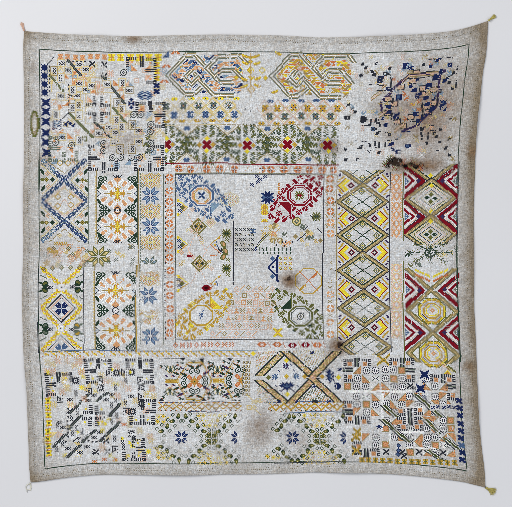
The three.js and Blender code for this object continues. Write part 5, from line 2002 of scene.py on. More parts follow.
def draw_leaf_cross(chart, x, y, arms):
    """Slanted sprays of olive leaves and curls about four tied hearts."""
    chart.stamp(x, y, OLIVE_HEART)
    count = 4
    for x0, y0, x1, y1, flip in arms:
        up = 1 if "v" in flip else -1
        out = -1 if "h" in flip else 1
        for k in range(count):
            share = k / (count - 1)
            px, py = x0 + (x1 - x0) * share, y0 + (y1 - y0) * share
            chart.stamp(px, py, DARK_LEAF, flip=flip + ("t" if k % 2 else ""))
            chart.stamp(px - out * 4.4, py + up * 1.6, LEAF_CURL, flip=flip, kind=FINE)
            chart.stamp(px + out * 3.0, py - up * 4.8, LEAF_CURL, flip=flip, swap={"G": "g"}, kind=FINE)


def draw_leaf_bands(chart):
    """The two olive leaf panels at the foot, with navy flowers between."""
    pale = {"O": "s", "o": "t", "y": "s"}
    rows = (
        (198, 226, 415.5, 5.4), (201, 223, 420.5, 5.6), (204, 219, 425.5, 5.8), (158, 172, 416, 5.4),
        (158, 166, 421, 5.4), (202, 221, 453, 5.6), (197, 228, 458, 5.4), (199, 226, 462.5, 5.4),
        (158, 172, 458, 5.4), (158, 166, 453, 5.4), (305, 335, 415.5, 5.4), (308, 330, 420.5, 5.6),
        (311, 327, 425.5, 5.6), (308, 330, 452.5, 5.6), (303, 336, 457.5, 5.4), (306, 334, 462, 5.4),
        (268, 280, 457, 5.6),
    )
    for turn, (x0, x1, y, pitch) in enumerate(rows):
        for k in range(int((x1 - x0) / pitch) + 1):
            silks = pale if (k + turn) % 4 else None
            chart.stamp(x0 + k * pitch, y, SMALL_BLOOM, silks, kind=FINE)
    chart.wear(156, 412, 344, 465, 0.3)
    draw_leaf_cross(chart, 211.3, 438.3, (
        (204.5, 431, 185.5, 416, "h"), (218.5, 431, 234.5, 416.5, ""), (204.5, 446, 188.5, 461, "hv"),
        (218.5, 446, 236, 461, "v"), (161.5, 431, 177.5, 416.5, ""), (161, 447, 178.5, 460.5, "v"),
    ))
    draw_leaf_cross(chart, 319.3, 438.5, (
        (312, 431, 294.5, 416.5, "h"), (326.5, 431, 343, 416, ""), (312, 446, 297.5, 461, "hv"),
        (326.5, 446, 344, 461, "v"), (277.5, 430, 289, 416.5, ""), (278.5, 449, 291.5, 461, "v"),
    ))
    for x in (181.6, 292.4):
        chart.stamp(x, 438, NAVY_PETALS)
    left_half = [row[:7] for row in NAVY_PETALS]
    chart.stamp(234.4, 437.5, left_half)
    chart.stamp(343.5, 438, left_half)
    draw_interlace(chart, 268.5, 344, 406.6, 7.6)
    chart.line(266, 402.8, 342, 402.2, "B", FINE)
    chart.line(287, 412.6, 344, 412.4, "B", FINE)
    chart.line(275, 463.6, 352, 462, "k", FINE)
    chart.wear(156, 414, 344, 464, 0.03)


def draw_tan_lattice(chart):
    """The broad outlined lattice at the south, with navy blooms in its openings."""
    draw_hatch(chart, ((291, 351), (336, 351), (313.5, 371)), "tsptsg")
    draw_hatch(chart, ((295, 402), (332, 402), (313.5, 383)), "tatgOg")
    draw_hatch(chart, ((257, 383), (257, 403), (281, 403)), "sspgt")
    draw_hatch(chart, ((256, 351), (277, 351), (256, 371)), "sapt")
    strands = (
        (283, 351, 259.5, 375), (259, 380, 285.5, 402), (285.2, 351, 313, 376), (314, 378.5, 290.5, 402),
        (313.5, 376, 337, 351), (312.5, 378.5, 339, 402),
    )
    for k, strand in enumerate(strands):
        draw_edged_strand(chart, *strand, "ttssapt" if k else "tsOstps")
    chart.stamp(313.3, 377.3, "..apa.. .apppa. appgppa .apppa. ..apa..".split())
    chart.scatter(YELLOW_DIAMOND, ((286.5, 360), (287.5, 394.5), (338, 377), (253.5, 353.5)))
    chart.scatter(YELLOW_DIAMOND, ((304.5, 377), (322, 376.5)), {"Y": "y"})
    chart.stamp(268.5, 377, YELLOW_DIAMOND, {"Y": "O"})
    chart.stamp(287, 386.5, NAVY_BLOOM)
    for x, y, flip, silk in ((275.5, 377, "", "B"), (296.5, 376.5, "h", "B"), (286.5, 366, "v", "v")):
        chart.stamp(x, y, NAVY_TUFT, {"N": silk, "B": "b"}, flip)
    chart.stamp(287, 376.5, "..y.. .yYy. yYoYy .yYy. ..y..".split())
    chart.stamp(330.5, 375.5, NAVY_BLOOM, flip="t")
    chart.stamp(337, 386.5, "NNNNN.. ..NNNN. .N.NNNN NN.NNNN .N.NNNN ..NNNN. .N.NN..".split())
    for x, y in ((311.5, 353), (279, 401), (296, 401.6), (329, 401.4), (313.5, 387), (340, 369)):
        chart.stamp(x, y, ["N.NN", ".NNN", "NNN."])
    chart.stamp(314.5, 401.6, [".kkkk.", "kkkkkk", "kkkkkk"])
    chart.scatter(["N.", ".N"], (
        (279, 370.5), (294.5, 370.5), (276.5, 386), (298, 386), (281, 391), (294, 391), (291, 365),
    ))
    faint_tiles = (
        (254, 408, 0), (254, 402, 3), (249.5, 398, 1), (258.5, 413, 1), (249, 408, 2), (259, 401, 5),
    )
    for x, y, tile in faint_tiles:
        chart.stamp(x, y, ROW_TILES[tile].split(), swap={"t": "s"})
    chart.wear(250, 350, 346, 403, 0.03)


def draw_dense_block(chart):
    """The dense south-east block: brown triangles, ringed boxes, combs and slanted bars."""
    for y, row in DENSE_ROWS:
        for x, tile in zip(DENSE_COLUMNS, row.split(), strict=True):
            if tile in "HV":
                for step in (-1.6, 0, 1.6):
                    silk = "k" if step else "g"
                    if tile == "H":
                        chart.line(x - 4.5, y + step, x + 4.5, y + step, silk, SATIN_ACROSS)
                    else:
                        chart.line(x + step, y - 4, x + step, y + 4, silk, SATIN_DOWN)
            elif tile != ".":
                pattern, flip = DENSE_TILES[tile]
                chart.stamp(x, y, pattern, flip=flip)
    white_lines = (
        (350, 391.5, 412, 391.2, 2), (404, 407.5, 424, 407.5, 1),
        (397, 431.5, 424, 431.8, 2), (407, 447.5, 436, 448.5, 1),
    )
    for x0, y0, x1, y1, width in white_lines:
        chart.line(x0, y0, x1, y1, "w", SATIN_ACROSS, width=width)
    chart.line(382, 393, 382, 430, "w", SATIN_DOWN, width=2)
    for x, y0, y1 in ((390, 432, 444), (406.5, 410, 424)):
        chart.line(x, y0, x, y1, "w", SATIN_DOWN)
    slants = (
        (415, 393.8, 440.4, 416.5), (383.8, 405.9, 396.6, 416.5), (382.4, 419.3, 407.9, 442),
        (424.9, 419.3, 439, 433.5), (427.7, 450.4, 441.8, 460.3), (443.2, 437.7, 457.4, 449),
    )
    for x0, y0, x1, y1 in slants:
        for k, letter in enumerate("kgwOGOwk", -3):
            chart.line(x0 + k, y0, x1 + k, y1, letter)
    chart.scatter(STAR_LARGE, ((424.3, 374.3), (420.8, 388.8)))
    chart.scatter(DARTS, ((423.5, 382), (424, 397)))
    chart.stamp(412.5, 387.5, TWO_CROSSES)
    for x in (432.5, 438.3, 443.8, 449, 454.2):
        chart.clear(x - 3, 404, x + 3, 411)
        chart.stamp(x, 407, ["N.NN", ".NN.", "NN.N"])
    for k in range(9):
        y = 401 + k * 7.35
        chart.stamp(459 + (y - 400) * 0.055, y, NAVY_SQUARE, swap={"N": "B"} if k == 6 else None)
    for k in range(14):
        x = 361.5 + k * 7.15
        chart.stamp(x, 459.8 + (x - 361) * 0.034, X_SMALL, swap={"o": "O", "y": "O", "Y": "y"})
    for x, y, size in ((383, 358.7, 6.0), (356.2, 449.3, 4.2), (356, 436, 4.2), (357, 431, 3.4)):
        for side in (-1, 1):
            ends = (x - size, y - side * size * 0.8, x + size, y + side * size * 0.8)
            chart.line(*ends, "y", width=3)
            chart.line(ends[0], ends[1] + 1, ends[2], ends[3] + 1, "O", gap=3)
    chart.stamp(380.3, 426.4, ["..NN....", "BNNNNB..", "..NN.BB.", ".N..N..."])
    for y in (445, 449.8, 454.5):
        chart.stamp(398.4, y, "..N.. .NBN. NBBBN .NBN. ..N..".split())
    chart.stamp(404, 456.5, BIG_CROSS)
    for x0, step in ((441, 0), (444, 1), (447, 2), (450, 3)):
        chart.line(x0 - 4, 358.5 + step * 2, x0 + 6, 368.5 + step, "ptsO"[step], width=2)
    chart.stamp(447.5, 372, "...Y... ..YyY.. .YyyyY. YyyoyyY".split())
    chart.wear(342, 356, 463, 463, 0.02)


def enlarged(rows):
    """A chart's rows with every second row and column doubled."""
    wide = ["".join(mark * (1 + k % 2) for k, mark in enumerate(line)) for line in rows]
    return [line for k, line in enumerate(wide) for _ in range(1 + k % 2)]


def draw_worn_corner(chart):
    """The worn north-east block: a slanted ring of navy tiles, and scattered dark dashes."""
    ring = ((382, 112), (380, 104), (385, 96), (399, 82), (409, 75), (440, 71.5), (438.5, 92), (436, 106),
            (428, 115), (417, 125), (402, 131))
    beiges = (
        (401, 87), (413, 81), (422.5, 88), (434, 90), (422, 94), (388, 99), (395, 104), (388, 113),
        (429, 112), (424, 107), (403, 126), (397, 122), (411, 117), (430, 74), (416, 73), (434.5, 103),
    )
    for x, y in beiges:
        chart.stamp(x, y, BEIGE_TILE, flip="h" if int(x) % 2 else "")
    for (x0, y0), (x1, y1) in zip(ring, ring[1:], strict=False):
        chart.line(x0, y0, x1, y1, "v", width=4 if 384 < x0 < 400 else 2)
    for run in ((379, 116, 391, 107), (395, 131, 405.4, 122), (408, 75.4, 439, 72.8), (402, 82, 411, 75),
                (371, 99, 381, 92), (425, 96, 436, 86)):
        for away in (-1.6, 0.0, 1.6):
            chart.line(run[0], run[1] + away, run[2], run[3] + away, "t" if away else "p")
    chart.line(402, 131.5, 410, 131.5, "N")
    tiles = (
        (406, 66, "NNNN NNN. NN.. NN.N"), (411, 68, "N.NN .NN. NNNN"),
        (436, 77.5, ".NNN NNNN NNNN NNNN"), (429, 86, ".NNN NNNN NNBN NNN."),
        (446, 80, "NNNN NNN. NN.."), (442, 71.8, ".NN. NNNN NNNN .NN."),
        (398.5, 97, "NNNN NBBN NBBN NNNN"), (418.3, 96, "NNNN NNNN NNN. NNN."),
        (425, 98.5, "NNNN .NNN .NN."), (433.5, 97.5, "...N ..NN .NNN"), (427, 104.5, "..NN .NNN NNNN"),
        (432, 109, "..NN .NNN NNNN NNN."), (416, 114, "NNNN NNN. NNNN"),
        (424, 116.5, ".NNN NNNN NNN. NN.."), (419.5, 122, "NNN. NNN. NN.. N..."),
        (388, 107, "NNNN .NNN ..NN"), (389, 112, "..N. .NNN NNNN"), (396, 116, "N..N .NNN NNN. NN.N"),
        (411.5, 86, ".NNN NNN. NN.."), (414, 89.5, "..NN .NNN NNNN"), (419, 79.5, "NNNN NN.. N..."),
        (383.5, 118, ".N.. NNN."), (386.5, 125, ".NN. NNN. .NN."),
        (380, 79.5, "kNkN NkNk kNkN NkNk kNkN"), (386.5, 73.5, "kkk. k.kk .kk."),
        (375, 75, ".kk. kkk. ..k."), (373, 72, "kk.. .kk."), (389, 89, "NNN. NNNN NNN."),
        (363.5, 119.5, "kkk.. kkkk. kkkkk kkkk. .kk.."), (369.3, 123, "..k ..k kkk"),
        (377, 121, "k.k k.k k.k"), (374.5, 129, "kBk. BkBk kBk."), (378.5, 132.5, "..kk .kk. kk.."),
        (391, 143.5, "..NN .NNN NNN."), (394, 149, "N... NNN. .NN."), (398, 152, ".NNN NN.. .NNN"),
        (407.5, 146.5, "NNNN NBBN .NN."), (443.5, 103, "N.N.N .NBN. N.BNN .NNN. NN.NN"),
        (443, 109, "NN..N N.NN. ..NN."), (423, 128.5, "kkkk kkk. kk.."), (450, 65, "NNN NNN NNN"),
        (431, 67, "NNN NN. N.."), (438, 60, "..NN .NN. NN.."), (347, 117.5, "kkkk kk.k .kkk"),
        (354.5, 112, "k.. .kk kk."), (348, 105, "..k .kk k.."), (361, 76, ".k. kkk .kk"),
        (362.5, 64, ".k kk"), (376.5, 63.5, ".k kk"), (366, 67.5, ".kk kk."), (390.5, 68, ".kk kk."),
        (423, 64.5, ".k kk"), (370, 85, "kk"), (361.5, 147, ".kk kk. .k."), (358.5, 149, "kk"),
        (369.5, 152, "k.k .k."), (379.5, 152, ".kk kk."), (346, 149.5, "k.k kk. .k."),
        (357.5, 160, "kk k."), (346, 160, "kkk kk."), (436.5, 137, ".k kk"), (434, 134, "kk k."),
        (426.5, 143.5, "kk .k"), (439.5, 141.5, ".k kk"), (446.5, 147.5, ".kk kk."),
        (449.5, 139, ".k k."), (437, 151, "kk"), (449, 154.5, "k. kk"), (453, 88, "k. kk"),
        (441.5, 91, "k k k"), (449, 82.5, "kk kk"), (453, 73, ".k kk"), (397, 139, "kk"),
        (389.5, 134, "kk kk"), (356, 141, "k"), (450.5, 118.5, "kk"), (440.5, 129.5, "k. kk"),
        (444.5, 71, "vv vv"),
    )
    for x, y, rows in tiles:
        chart.stamp(x, y, enlarged(rows.split()))
    dashes = (
        (377, 85, 384, 85), (377, 90.5, 385, 90.5), (391, 77, 391, 89), (389.5, 74, 393, 78),
        (388, 88, 391, 91), (408, 78.5, 425, 78), (421, 72.5, 427, 72), (429, 59.5, 434, 59.5),
        (447, 57.5, 452, 57.5), (457.5, 64, 457.5, 69), (456, 81, 456, 88), (393, 98, 393, 103),
        (392, 113, 392, 119), (391.5, 119.5, 399, 120.3), (411, 121.5, 416, 121.5),
        (363, 126, 371, 126), (371, 120, 371, 125), (376.5, 119, 376.5, 124), (379.5, 121, 379.5, 126),
        (430, 125.5, 434, 125.5), (430, 130.5, 435, 130.5), (421.5, 132, 421.5, 139),
        (428, 132, 428, 139), (369.5, 143.5, 369.5, 147), (375.5, 141.5, 375.5, 147),
        (379.5, 142, 379.5, 147), (385.5, 142, 385.5, 146.5), (387, 140, 391, 140),
        (362, 141.5, 366, 141.5), (422.5, 103, 422.5, 116), (437, 98, 437, 106), (386, 132, 388, 132),
        (351, 109, 354, 108), (444, 79.5, 456, 73), (439, 60, 443, 57),
    )
    for x0, y0, x1, y1 in dashes:
        chart.line(x0, y0, x1, y1, "k", SATIN_DOWN if abs(x1 - x0) < 1 else CROSS)
    chart.stamp(412, 104, ["aYa.a", ".aoaY", "a.aYa"])
    chart.stamp(419, 109, ["oao.o", ".oao.", "o.o.a"])
    splashes = ((390, 158), (396, 167), (403, 162), (409, 167), (414, 161), (420, 168), (386, 163))
    for k, (x, y) in enumerate(splashes):
        silks = {"a": "Oto"[k % 3], "o": "C"}
        chart.stamp(x, y, SPLASH, silks, ("", "h", "v")[k % 3], FINE)
    for sx in (-1, 1):
        chart.line(419, 155.3 - sx * 2.5, 424.5, 155.3 + sx * 2.5, "w")
    chart.faded(346, 56, 455, 160, "stpsbp", (DARTS, SPRIG, TWO_DOWN), 110)
    chart.faded(376, 62, 452, 136, "toas", (DARTS, SPRIG), 40)
    chart.wear(345, 54, 457, 162, 0.06)


# Pieces


def palette_of(colours):
    """The silks' colours in the order of the charts' letters."""
    rows = [(0, 0, 0)] + [tuple(getattr(colours, name)) for name in SILKS.values()]
    return np.array(rows, float)


def finish_embroidery(piece):
    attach(piece, "root")
    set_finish(piece, "embroidery_silk")


def embroider(context, name, seed, *drawings):
    """Draws charts, and stitches what is on them as one piece."""
    chart = Chart(seed)
    for draw in drawings:
        draw(chart)
    settings, colours = context.scene.sampler_sizes, context.scene.sampler_colours
    strands = chart.strands(settings, palette_of(colours))
    piece = strands.piece(name, silk_material("embroidery_silk"))
    finish_embroidery(piece)


# The tassels and the loop

# Each corner tassel: the cloth's corner, the way it points in degrees, its silk, and in
# millimetres the bound neck's length and radius, the whole length and half the spread.
TASSELS = (
    ("tassel_nw", 0, 0, 109, "rose", 3.6, 1.3, 12.0, 2.3),
    ("tassel_ne", 1, 0, 36, "brass", 5.0, 1.2, 12.5, 2.4),
    ("tassel_se", 1, 1, -27, "brass", 3.4, 1.5, 15.0, 5.4),
)
SEAT_GAP = 0.3 * MM
FLOOR_CLEARANCE = 0.05 * MM
# The worn corner's loop, in millimetres, and the way it points in degrees.
LOOP_HEADING = -118
LOOP_ACROSS, LOOP_DOWN, LOOP_THREAD, LOOP_STUB, LOOP_TAIL = 6.4, 7.6, 1.1, 2.4, 6.5


def corner_place(across, down, heading):
    """A function that lays points given along +X at a corner of the cloth, turned to its heading."""
    x, y = plan_point(np.array([float(across)]), np.array([float(down)]))
    turn = math.radians(heading)
    cos, sin = math.cos(turn), math.sin(turn)
    start_x = float(x[0]) + OFFSET_X + cos * SEAT_GAP
    start_y = float(y[0]) + OFFSET_Y + sin * SEAT_GAP

    def laid(points):
        px, py, pz = np.asarray(points, float).T
        return np.stack([start_x + px * cos - py * sin, start_y + px * sin + py * cos, pz], axis=-1)

    return laid


def beside_path(path):
    """Unit directions to the side of a path and above it, at each of its points."""
    run = np.gradient(path, axis=0)
    run /= np.linalg.norm(run, axis=1, keepdims=True)
    side = np.cross(run, [0.0, 0.0, 1.0])
    side /= np.linalg.norm(side, axis=1, keepdims=True)
    return side, np.cross(side, run)


def tube(path, radii, sides=5):
    """Points and four-cornered faces of a tube along a path, its end rings drawn in narrow."""
    side, up = beside_path(path)
    turn = np.arange(sides) * 2 * math.pi / sides
    ring = np.cos(turn)[None, :, None] * side[:, None] + np.sin(turn)[None, :, None] * up[:, None]
    radii = np.broadcast_to(np.asarray(radii, float), (len(path),)).copy()
    radii[[0, -1]] *= 0.15
    points = path[:, None] + ring * radii[:, None, None]
    number = np.arange(len(path) * sides).reshape(len(path), sides)
    nextward = np.roll(number, -1, axis=1)
    faces = np.stack([number[:-1], number[1:], nextward[1:], nextward[:-1]], axis=-1).reshape(-1, 4)
    return points.reshape(-1, 3), faces


def gather(tubes):
    """Several tubes as one set of points and faces."""
    points, faces, count = [], [], 0
    for tube_points, tube_faces in tubes:
        points.append(tube_points)
        faces.append(tube_faces + count)
        count += len(tube_points)
    return np.concatenate(points), np.concatenate(faces)


def tassel_strands(random, strands, neck_length, neck_radius, length, half_width):
    """Strands of floss fanned out from the neck, sagging to the table, as paths along +X."""
    tubes = []
    thread = 0.2 * MM
    along = np.linspace(0, 1, 9)
    for k in range(strands):
        side = 2 * (k + 0.5) / strands - 1 + 0.1 * random.standard_normal()
        layer = random.random()
        reach = (length - neck_length * 0.5) * (0.82 + 0.18 * random.random()) * (1 - 0.12 * side * side)
        sway = 0.05 * half_width * random.standard_normal()
        y = side * neck_radius * 0.5 * (1 - along) + side * half_width * along**1.3
        y = y + sway * np.sin(along * math.pi * (1 + random.random()))
        x = neck_length * 0.5 + reach * along * (1 - 0.06 * abs(side) * along)
        low = thread + FLOOR_CLEARANCE + layer * 1.3 * MM * (1 - 0.35 * abs(side))
        z = neck_radius + FLOOR_CLEARANCE + (low - neck_radius - FLOOR_CLEARANCE) * along**0.7
        z = np.maximum(z + 0.15 * MM * np.sin(along * 5 + k), thread + FLOOR_CLEARANCE)
        tubes.append((np.stack([x, y, z], axis=-1), thread * (1.1 - 0.25 * along)))
    return tubes


def plied(path, radius, plies, turns):
    """Plies of thread wound round a path."""
    side, up = beside_path(path)
    along = np.linspace(0, turns * 2 * math.pi, len(path))
    wound = []
    for ply in range(plies):
        angle = along + ply * 2 * math.pi / plies
        offset = np.cos(angle)[:, None] * side + np.sin(angle)[:, None] * up
        wound.append((path + offset * radius * 0.48, radius * 0.52))
    return wound


def bound_neck(name, length, radius, material):
    """A short barrel of wound thread, shaped by hand and laid along +X."""
    bpy.ops.object.select_all(action="DESELECT")
    bpy.ops.mesh.primitive_cylinder_add(
        vertices=20, radius=radius * 0.86, depth=length, rotation=(0, math.pi / 2, 0),
        location=(length / 2, 0, radius + FLOOR_CLEARANCE),
    )
    neck = bpy.context.object
    neck.name = name
    neck.data.materials.append(material)
    bpy.ops.object.mode_set(mode="EDIT")
    bpy.ops.mesh.select_all(action="SELECT")
    bpy.ops.mesh.bevel(offset=radius * 0.3, segments=2, affect="EDGES")
    bpy.ops.object.mode_set(mode="OBJECT")
    turns = max(3, round(length / (0.55 * MM)))
    for turn in range(turns):
        bpy.ops.mesh.primitive_torus_add(
            major_radius=radius * 0.8, minor_radius=radius * 0.19, major_segments=20,
            minor_segments=8, rotation=(0, math.pi / 2 + 0.12, 0),
            location=(length * (turn + 0.5) / turns, 0, radius + FLOOR_CLEARANCE),
        )
        bpy.context.object.data.materials.append(material)
        select_only(neck, bpy.context.object)
        bpy.ops.object.join()
    bpy.ops.object.transform_apply(location=True, rotation=True, scale=True)
    bpy.ops.object.shade_smooth()
    return neck


def lay_thread_piece(name, node, slot, neck, paths, laid, material):
    """Joins a neck with its strands, at their corner, as the piece for one node."""
    tubes = [tube(laid(path), radii) for path, radii in paths]
    points, faces = gather(tubes)
    strands = new_piece(name, points, faces, 4, material)
    places = np.empty(len(neck.data.vertices) * 3)
    neck.data.vertices.foreach_get("co", places)
    neck.data.vertices.foreach_set("co", laid(places.reshape(-1, 3)).ravel())
    select_only(strands, neck)
    bpy.ops.object.join()
    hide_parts(node)
    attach(strands, "root")
    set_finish(strands, slot)


def make_tassels(context):
    """The three corner tassels: a wound neck and loose strands of floss."""
    colours = context.scene.sampler_colours
    strands = context.scene.sampler_sizes.tassel_strands
    random = np.random.default_rng(5)
    for node, across, down, heading, silk, neck_length, neck_radius, length, half_width in TASSELS:
        sizes = [value * MM for value in (neck_length, neck_radius, length, half_width)]
        material = silk_material(f"{silk}_floss", getattr(colours, silk), wear=0.2)
        neck = bound_neck(f"{node}_neck", sizes[0], sizes[1], material)
        paths = tassel_strands(random, strands, *sizes)
        slot = "rose_silk" if silk == "rose" else "gold_silk"
        laid = corner_place(across, down, heading)
        lay_thread_piece(f"{node}_silk", node, slot, neck, paths, laid, material)


def make_loop(context):
    """The worn corner: a plied ring on a short bound stub, with two loose tails."""
    material = silk_material("white_cotton", context.scene.sampler_colours.cotton, wear=0.3)
    thread = LOOP_THREAD / 2 * MM
    level = thread + FLOOR_CLEARANCE
    middle_x = (LOOP_STUB + LOOP_DOWN / 2) * MM - thread * 0.6
    turn = np.linspace(-math.pi, math.pi, 61)
    ring = np.stack(
        [middle_x + np.cos(turn) * LOOP_DOWN / 2 * MM, 0.6 * MM + np.sin(turn) * LOOP_ACROSS / 2 * MM,
         np.full(len(turn), level)], axis=-1,
    )
    far = middle_x + LOOP_DOWN / 2 * MM
    ends = (
        ((far - 0.8 * MM, -0.4 * MM), (far + LOOP_TAIL * 0.45 * MM, 1.6 * MM), 1.0),
        ((LOOP_STUB * 0.6 * MM, 0.9 * MM), ((LOOP_STUB + LOOP_TAIL) * MM, 4.6 * MM), 1.1),
    )
    paths = plied(ring, thread, 3, 14)
    for (x0, y0), (x1, y1), size in ends:
        along = np.linspace(0, 1, 22)
        bow = 0.35 * MM * np.sin(along * math.pi)
        line = np.stack(
            [x0 + (x1 - x0) * along, y0 + (y1 - y0) * along + bow, np.full(len(along), level * size)],
            axis=-1,
        )
        paths += plied(line, thread * size * 0.9, 3, 3)
    neck = bound_neck("loop_sw_neck", (LOOP_STUB + 0.5) * MM, LOOP_THREAD * 0.8 * MM, material)
    laid = corner_place(0, 1, LOOP_HEADING)
    lay_thread_piece("loop_sw_thread", "loop_sw", "white_thread", neck, paths, laid, material)


# Sewing of the hem

# The darned oval's middle on the table grid.
DARN_PLACE = (34.6, 123.5)


def make_hem_stitches(context):
    """Running stitches round the hem, and the darned oval in the left margin."""
    settings, colours = context.scene.sampler_sizes, context.scene.sampler_colours
    random = np.random.default_rng(9)
    chart = Chart(8)
    chart.ring(*DARN_PLACE, 3.8, 11.5, "O", thick=1.2, octagon=True)
    chart.ring(*DARN_PLACE, 2.2, 9.5, "t", FINE, octagon=True)
    strands = chart.strands(settings, palette_of(colours))
    rise = HEM_THICKNESS - GROUND_THICKNESS
    left, top = CLOTH_LEFT, CLOTH_TOP
    right, bottom = left + CLOTH_ACROSS, top + CLOTH_DOWN
    rows = ((HEM_SEAM_IN, settings.hem_pitch), (HEM_SEAM_IN + 2.1 * MM, settings.hem_pitch * 1.15))
    for row, (inward, pitch) in enumerate(rows):
        inset = inward / STITCH
        corners = (
            (left + inset, top + inset), (right - inset, top + inset),
            (right - inset, bottom - inset), (left + inset, bottom - inset),
        )
        for (x0, y0), (x1, y1) in zip(corners, corners[1:] + corners[:1], strict=True):
            run = math.hypot(x1 - x0, y1 - y0)
            count = int(run * STITCH / pitch)
            share = (np.arange(count) + 0.5) / count
            middle = np.stack([x0 + (x1 - x0) * share, y0 + (y1 - y0) * share], axis=1)
            middle = middle + 0.35 * (random.random((count, 2)) - 0.5)
            half = np.array([(x1 - x0) / run, (y1 - y0) / run]) * 0.62
            tint = np.array(colours.hem_thread) * (0.8 + 0.4 * random.random((count, 1)))
            kept = random.random(count) > (0.08 if row == 0 else 0.55)
            on_hem = rise * 0.7 if row == 0 else 0.0
            strands.add(middle[kept], half, 0.36, on_hem - 0.1 * MM, on_hem + 0.22 * MM, tint[kept])
    piece = strands.piece("hem_stitches", silk_material("embroidery_silk"))
    finish_embroidery(piece)


class SAMPLER_OT_linen(bpy.types.Operator):
    """Lay the hemmed linen ground"""

    bl_idname = "sampler.linen"
    bl_label = "Linen Ground"

    def execute(self, context):
        cloth = make_linen(context.scene.sampler_colours)
        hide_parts("linen_ground")
        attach(cloth, "root")
        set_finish(cloth, "linen")
        return {"FINISHED"}


class SAMPLER_OT_frame_line(bpy.types.Operator):
    """Stitch the thin line round the work"""

    bl_idname = "sampler.frame_line"
    bl_label = "Frame Line"

    def execute(self, context):
        embroider(context, "frame_line", 11, draw_frame_line)
        return {"FINISHED"}


class SAMPLER_OT_north_west(bpy.types.Operator):
    """Stitch the north-west block"""

    bl_idname = "sampler.north_west"
    bl_label = "North-West Block"

    def execute(self, context):
        embroider(context, "block_north_west", 12, draw_north_west)
        return {"FINISHED"}


class SAMPLER_OT_west_columns(bpy.types.Operator):
    """Stitch the three upright bands of the west side"""

    bl_idname = "sampler.west_columns"
    bl_label = "West Columns"

    def execute(self, context):
        embroider(context, "column_trellis_west", 21, draw_slate_lattice, draw_gold_lattice)
        embroider(context, "column_rosettes", 22, draw_rosettes)
        embroider(context, "column_blue_flowers", 23, draw_blue_flowers)
        return {"FINISHED"}


class SAMPLER_OT_top(bpy.types.Operator):
    """Stitch the knots, the flower trellis and the wreaths of the top"""

    bl_idname = "sampler.top"
    bl_label = "Top Bands"

    def execute(self, context):
        embroider(context, "band_top_knots", 31, draw_top_knots, draw_flower_lattice)
        embroider(context, "band_top_wreaths", 32, draw_wreath_band)
        return {"FINISHED"}


class SAMPLER_OT_centre(bpy.types.Operator):
    """Stitch the centre panel and its four sprays"""

    bl_idname = "sampler.centre"
    bl_label = "Centre Panel"

    def execute(self, context):
        embroider(context, "panel_sprays", 41, draw_sprays)
        embroider(context, "panel_figures", 42, draw_centre_panel)
        return {"FINISHED"}


class SAMPLER_OT_east_columns(bpy.types.Operator):
    """Stitch the trellis columns of the east side"""

    bl_idname = "sampler.east_columns"
    bl_label = "East Columns"

    def execute(self, context):
        embroider(context, "column_trellis_east", 51, draw_east_trellis)
        embroider(context, "column_crimson", 52, draw_crimson_column)
        return {"FINISHED"}


class SAMPLER_OT_south(bpy.types.Operator):
    """Stitch the blocks and bands along the foot of the work"""

    bl_idname = "sampler.south"
    bl_label = "South Blocks"

    def execute(self, context):
        embroider(context, "block_south_west", 61, draw_south_west)
        embroider(context, "band_scrolls", 62, draw_scroll_band)
        embroider(context, "panel_leaves", 63, draw_leaf_bands)
        embroider(context, "panel_lattice", 64, draw_tan_lattice)
        embroider(context, "block_south_east", 65, draw_dense_block)
        return {"FINISHED"}


class SAMPLER_OT_north_east(bpy.types.Operator):
    """Stitch the worn north-east block"""

    bl_idname = "sampler.north_east"
    bl_label = "North-East Block"

    def execute(self, context):
        embroider(context, "block_north_east", 71, draw_worn_corner)
        return {"FINISHED"}


class SAMPLER_OT_hem_stitches(bpy.types.Operator):
    """Sew the hem and the darn in the margin"""

    bl_idname = "sampler.hem_stitches"
    bl_label = "Hem Stitches"

    def execute(self, context):
        make_hem_stitches(context)
        return {"FINISHED"}


class SAMPLER_OT_tassels(bpy.types.Operator):
    """Lay the three corner tassels"""

    bl_idname = "sampler.tassels"
    bl_label = "Corner Tassels"

    def execute(self, context):
        make_tassels(context)
        return {"FINISHED"}


class SAMPLER_OT_loop(bpy.types.Operator):
    """Lay the thread loop of the worn corner"""

    bl_idname = "sampler.loop"
    bl_label = "Corner Loop"

    def execute(self, context):
        make_loop(context)
        return {"FINISHED"}


class SAMPLER_OT_studio(bpy.types.Operator):
    """Set the pale floor, the soft lamps and the camera"""

    bl_idname = "sampler.studio"
    bl_label = "Studio"

    def execute(self, context):
        make_studio(context)
        return {"FINISHED"}


# Studio

# The picture takes in the whole counting grid, seen from straight above.
CAMERA_HEIGHT = 2.6
SENSOR_WIDTH = 36.0
FLOOR_SIZE = 6.0
FLOOR_COLOUR = srgb(214, 214, 216)
AIR_COLOUR = (0.9, 0.93, 1.0, 1.0)
AIR_STRENGTH = 0.42
# The lamps: name, place, width in metres, power in watts and colour.
LAMPS = (
    ("key_lamp", (-1.5, 1.5, 1.7), 1.3, 56.0, (1.0, 0.985, 0.96)),
    ("fill_lamp", (1.6, -1.2, 2.0), 2.2, 32.0, (0.95, 0.97, 1.0)),
)


def floor_material():
    material, tree, shader = new_material("pale_floor")
    w = Wiring(tree)
    place = w.node("ShaderNodeTexCoord").outputs["Object"]
    tone = w.remap(w.noise(place, 3.0, 2.0), 0.3, 0.7, 0.96, 1.0)
    w.join(w.scaled(FLOOR_COLOUR, tone), shader.inputs["Base Color"])
    shader.inputs["Roughness"].default_value = 0.9
    return material


